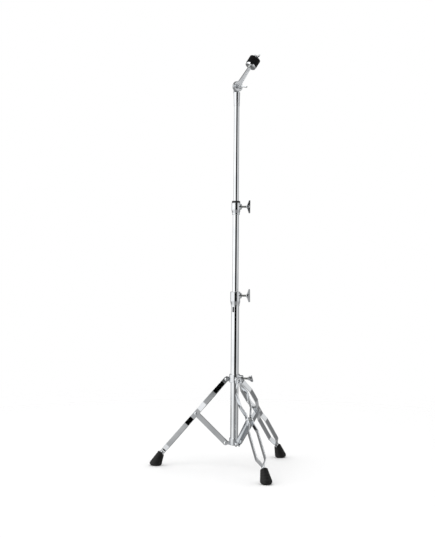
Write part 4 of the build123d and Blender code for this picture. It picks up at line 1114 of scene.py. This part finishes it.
nut_seat = axes_at(hinge + HINGE_WAY * (ARM_FRONT + 0.1 * MM), HINGE_WAY, (0, 0, 1))
wing_nut("tilter_wing_nut_casting", "tilter_wing_nut", "tilter_nut", nut_seat, 8 * MM, 11 * MM, [
    (0.0, 1.0 * MM, 10.6 * MM), (6.0 * MM, 1.5 * MM, 11.2 * MM), (9.0 * MM, 7.6 * MM, 14.6 * MM),
    (14.0 * MM, 11.4 * MM, 20.4 * MM), (19.5 * MM, 15.0 * MM, 26.0 * MM), (23.5 * MM, 17.8 * MM, 26.0 * MM),
    (24.4 * MM, 19.2 * MM, 25.0 * MM)], 5.0 * MM, 4.2 * MM, math.radians(80))

# ------------------------------------------------------------------ cymbal seat
# M8 rod screwed into the arm and locked by a nut, a pressed and chromed cup, a nylon sleeve that keeps
# the cymbal off the thread, and two pressed wool felts under a small wing nut.
seat_axes = arm_axes @ Matrix.Translation((0, 0, ARM_MIDDLE)) @ LYING_ALONG_X
ROD_FOOT = ARM_LENGTH - 10 * MM
ROD_END = 141.5 * MM
CUP_BACK = 90 * MM
CUP_FLOOR = 91.5 * MM
CUP_LIP = 97 * MM
SLEEVE_HOLE = 4.1 * MM
rod = threaded_rod("cymbal_rod_screw", ROD_FOOT, ROD_END)
put(rod, seat_axes)
finish_piece(rod, zinc, "tilter_head", "zinc_steel", "cymbal_rod")
lock_nut = hexagon_nut("rod_lock_nut_zinc", CUP_BACK - ARM_LENGTH, 13 * MM, THREAD_RADIUS)
put(lock_nut, seat_axes @ Matrix.Translation((0, 0, ARM_LENGTH)))
finish_piece(lock_nut, zinc, "tilter_head", "zinc_steel", "rod_lock_nut")
cup = turned("cup_washer_chromed", [
    (SLEEVE_HOLE, CUP_BACK), (17.0 * MM, CUP_BACK), (18.6 * MM, CUP_BACK + 0.4 * MM), (19.6 * MM, CUP_FLOOR),
    (20.0 * MM, CUP_FLOOR + 1.5 * MM), (20.0 * MM, CUP_LIP - 0.3 * MM), (19.7 * MM, CUP_LIP),
    (18.8 * MM, CUP_LIP), (18.5 * MM, CUP_LIP - 0.3 * MM), (18.5 * MM, CUP_FLOOR + 2.0 * MM),
    (17.9 * MM, CUP_FLOOR + 0.6 * MM), (16.5 * MM, CUP_FLOOR), (SLEEVE_HOLE, CUP_FLOOR)])
put(cup, seat_axes)
finish_piece(cup, chromed_tube, "tilter_head", "chromed_steel", "cup_washer")
sleeve_rings = tube_rings(6.0 * MM, SLEEVE_HOLE, CUP_FLOOR, 127.3 * MM, 0.5 * MM)
sleeve = turned("cymbal_sleeve_nylon", sleeve_rings, 64)
put(sleeve, seat_axes)
finish_piece(sleeve, nylon, "tilter_head", "black_nylon", "cymbal_sleeve")


def felt_cloth():
    """Black pressed wool: matted fibres in two sizes, and painted sheen, a paler colour where they stand up.
    """
    made, tree = surface("pressed_black_wool_felt")
    place = add_node(tree, "ShaderNodeTexCoord").outputs["Object"]
    fibres = add_node(tree, "ShaderNodeTexNoise", {"Vector": place, "Scale": 1.0 / (0.45 * MM),
                                                   "Detail": 6.0, "Roughness": 0.75, "Distortion": 1.6})
    clumps = add_node(tree, "ShaderNodeTexNoise", {"Vector": place, "Scale": 1.0 / (3.2 * MM), "Detail": 3.0})
    both = add_node(tree, "ShaderNodeMath", {0: fibres.outputs[0], 1: clumps.outputs[0]},
                    operation="MULTIPLY")
    # Painted sheen: the colour is paler where the fibres stand up, on the same heights that drive the bump.
    tone = add_node(tree, "ShaderNodeValToRGB", {"Fac": both.outputs[0]})
    tone.color_ramp.elements[0].color = colour("#020202")
    tone.color_ramp.elements[0].position = 0.15
    tone.color_ramp.elements[1].color = colour("#131314")
    tone.color_ramp.elements[1].position = 0.45
    bump = add_node(tree, "ShaderNodeBump", {"Height": both.outputs[0], "Strength": 0.9,
                                             "Distance": 0.35 * MM})
    shader = add_node(tree, "ShaderNodeBsdfPrincipled", {
        "Base Color": tone.outputs[0], "Roughness": 0.95, "Specular IOR Level": 0.15, "Sheen Weight": 0.06,
        "Normal": bump.outputs[0]})
    add_node(tree, "ShaderNodeOutputMaterial", {"Surface": shader.outputs[0]})
    return made


felt = felt_cloth()


def felt_washer(name, node, start, end, body):
    """Cut felt ring with soft edges."""
    outer = 21.0 * MM
    inner = 6.3 * MM
    soft = 2.2 * MM
    rings = [(inner, start + 0.6 * MM), (inner + 0.6 * MM, start)]
    for step in range(5):
        bend = step * math.pi / 8
        rings.append((outer - soft * (1 - math.sin(bend)), start + soft * (1 - math.cos(bend))))
    for step in range(5):
        bend = step * math.pi / 8
        rings.append((outer - soft * (1 - math.cos(bend)), end - soft * (1 - math.sin(bend))))
    washer = turned(name, rings + [(inner + 0.6 * MM, end), (inner, end - 0.6 * MM)], 96)
    put(washer, seat_axes)
    finish_piece(washer, felt, body, "black_felt", node, smooth=40.0)


FELT_THICK = 15.5 * MM
FELT_GAP = 0.3 * MM
upper_felt_at = CUP_LIP + FELT_THICK + FELT_GAP
nut_at = upper_felt_at + FELT_THICK + FELT_GAP
felt_washer("lower_felt_washer", "lower_felt", CUP_LIP, CUP_LIP + FELT_THICK, "tilter_head")
felt_washer("upper_felt_washer", "upper_felt", upper_felt_at, upper_felt_at + FELT_THICK, "lifting_felt")
top_seat = arm_axes @ Matrix.Translation((nut_at, 0, ARM_MIDDLE))
wing_nut("cymbal_wing_nut_casting", "cymbal_wing_nut", "cymbal_nut", top_seat, 7 * MM, 9 * MM, [
    (0.0, 1.0 * MM, 8.8 * MM), (5.0 * MM, 1.5 * MM, 9.4 * MM), (8.0 * MM, 4.8 * MM, 13.4 * MM),
    (11.0 * MM, 8.2 * MM, 17.0 * MM), (13.6 * MM, 10.8 * MM, 17.0 * MM), (14.4 * MM, 11.8 * MM, 16.2 * MM)],
    4.6 * MM, 4.2 * MM, math.radians(15))
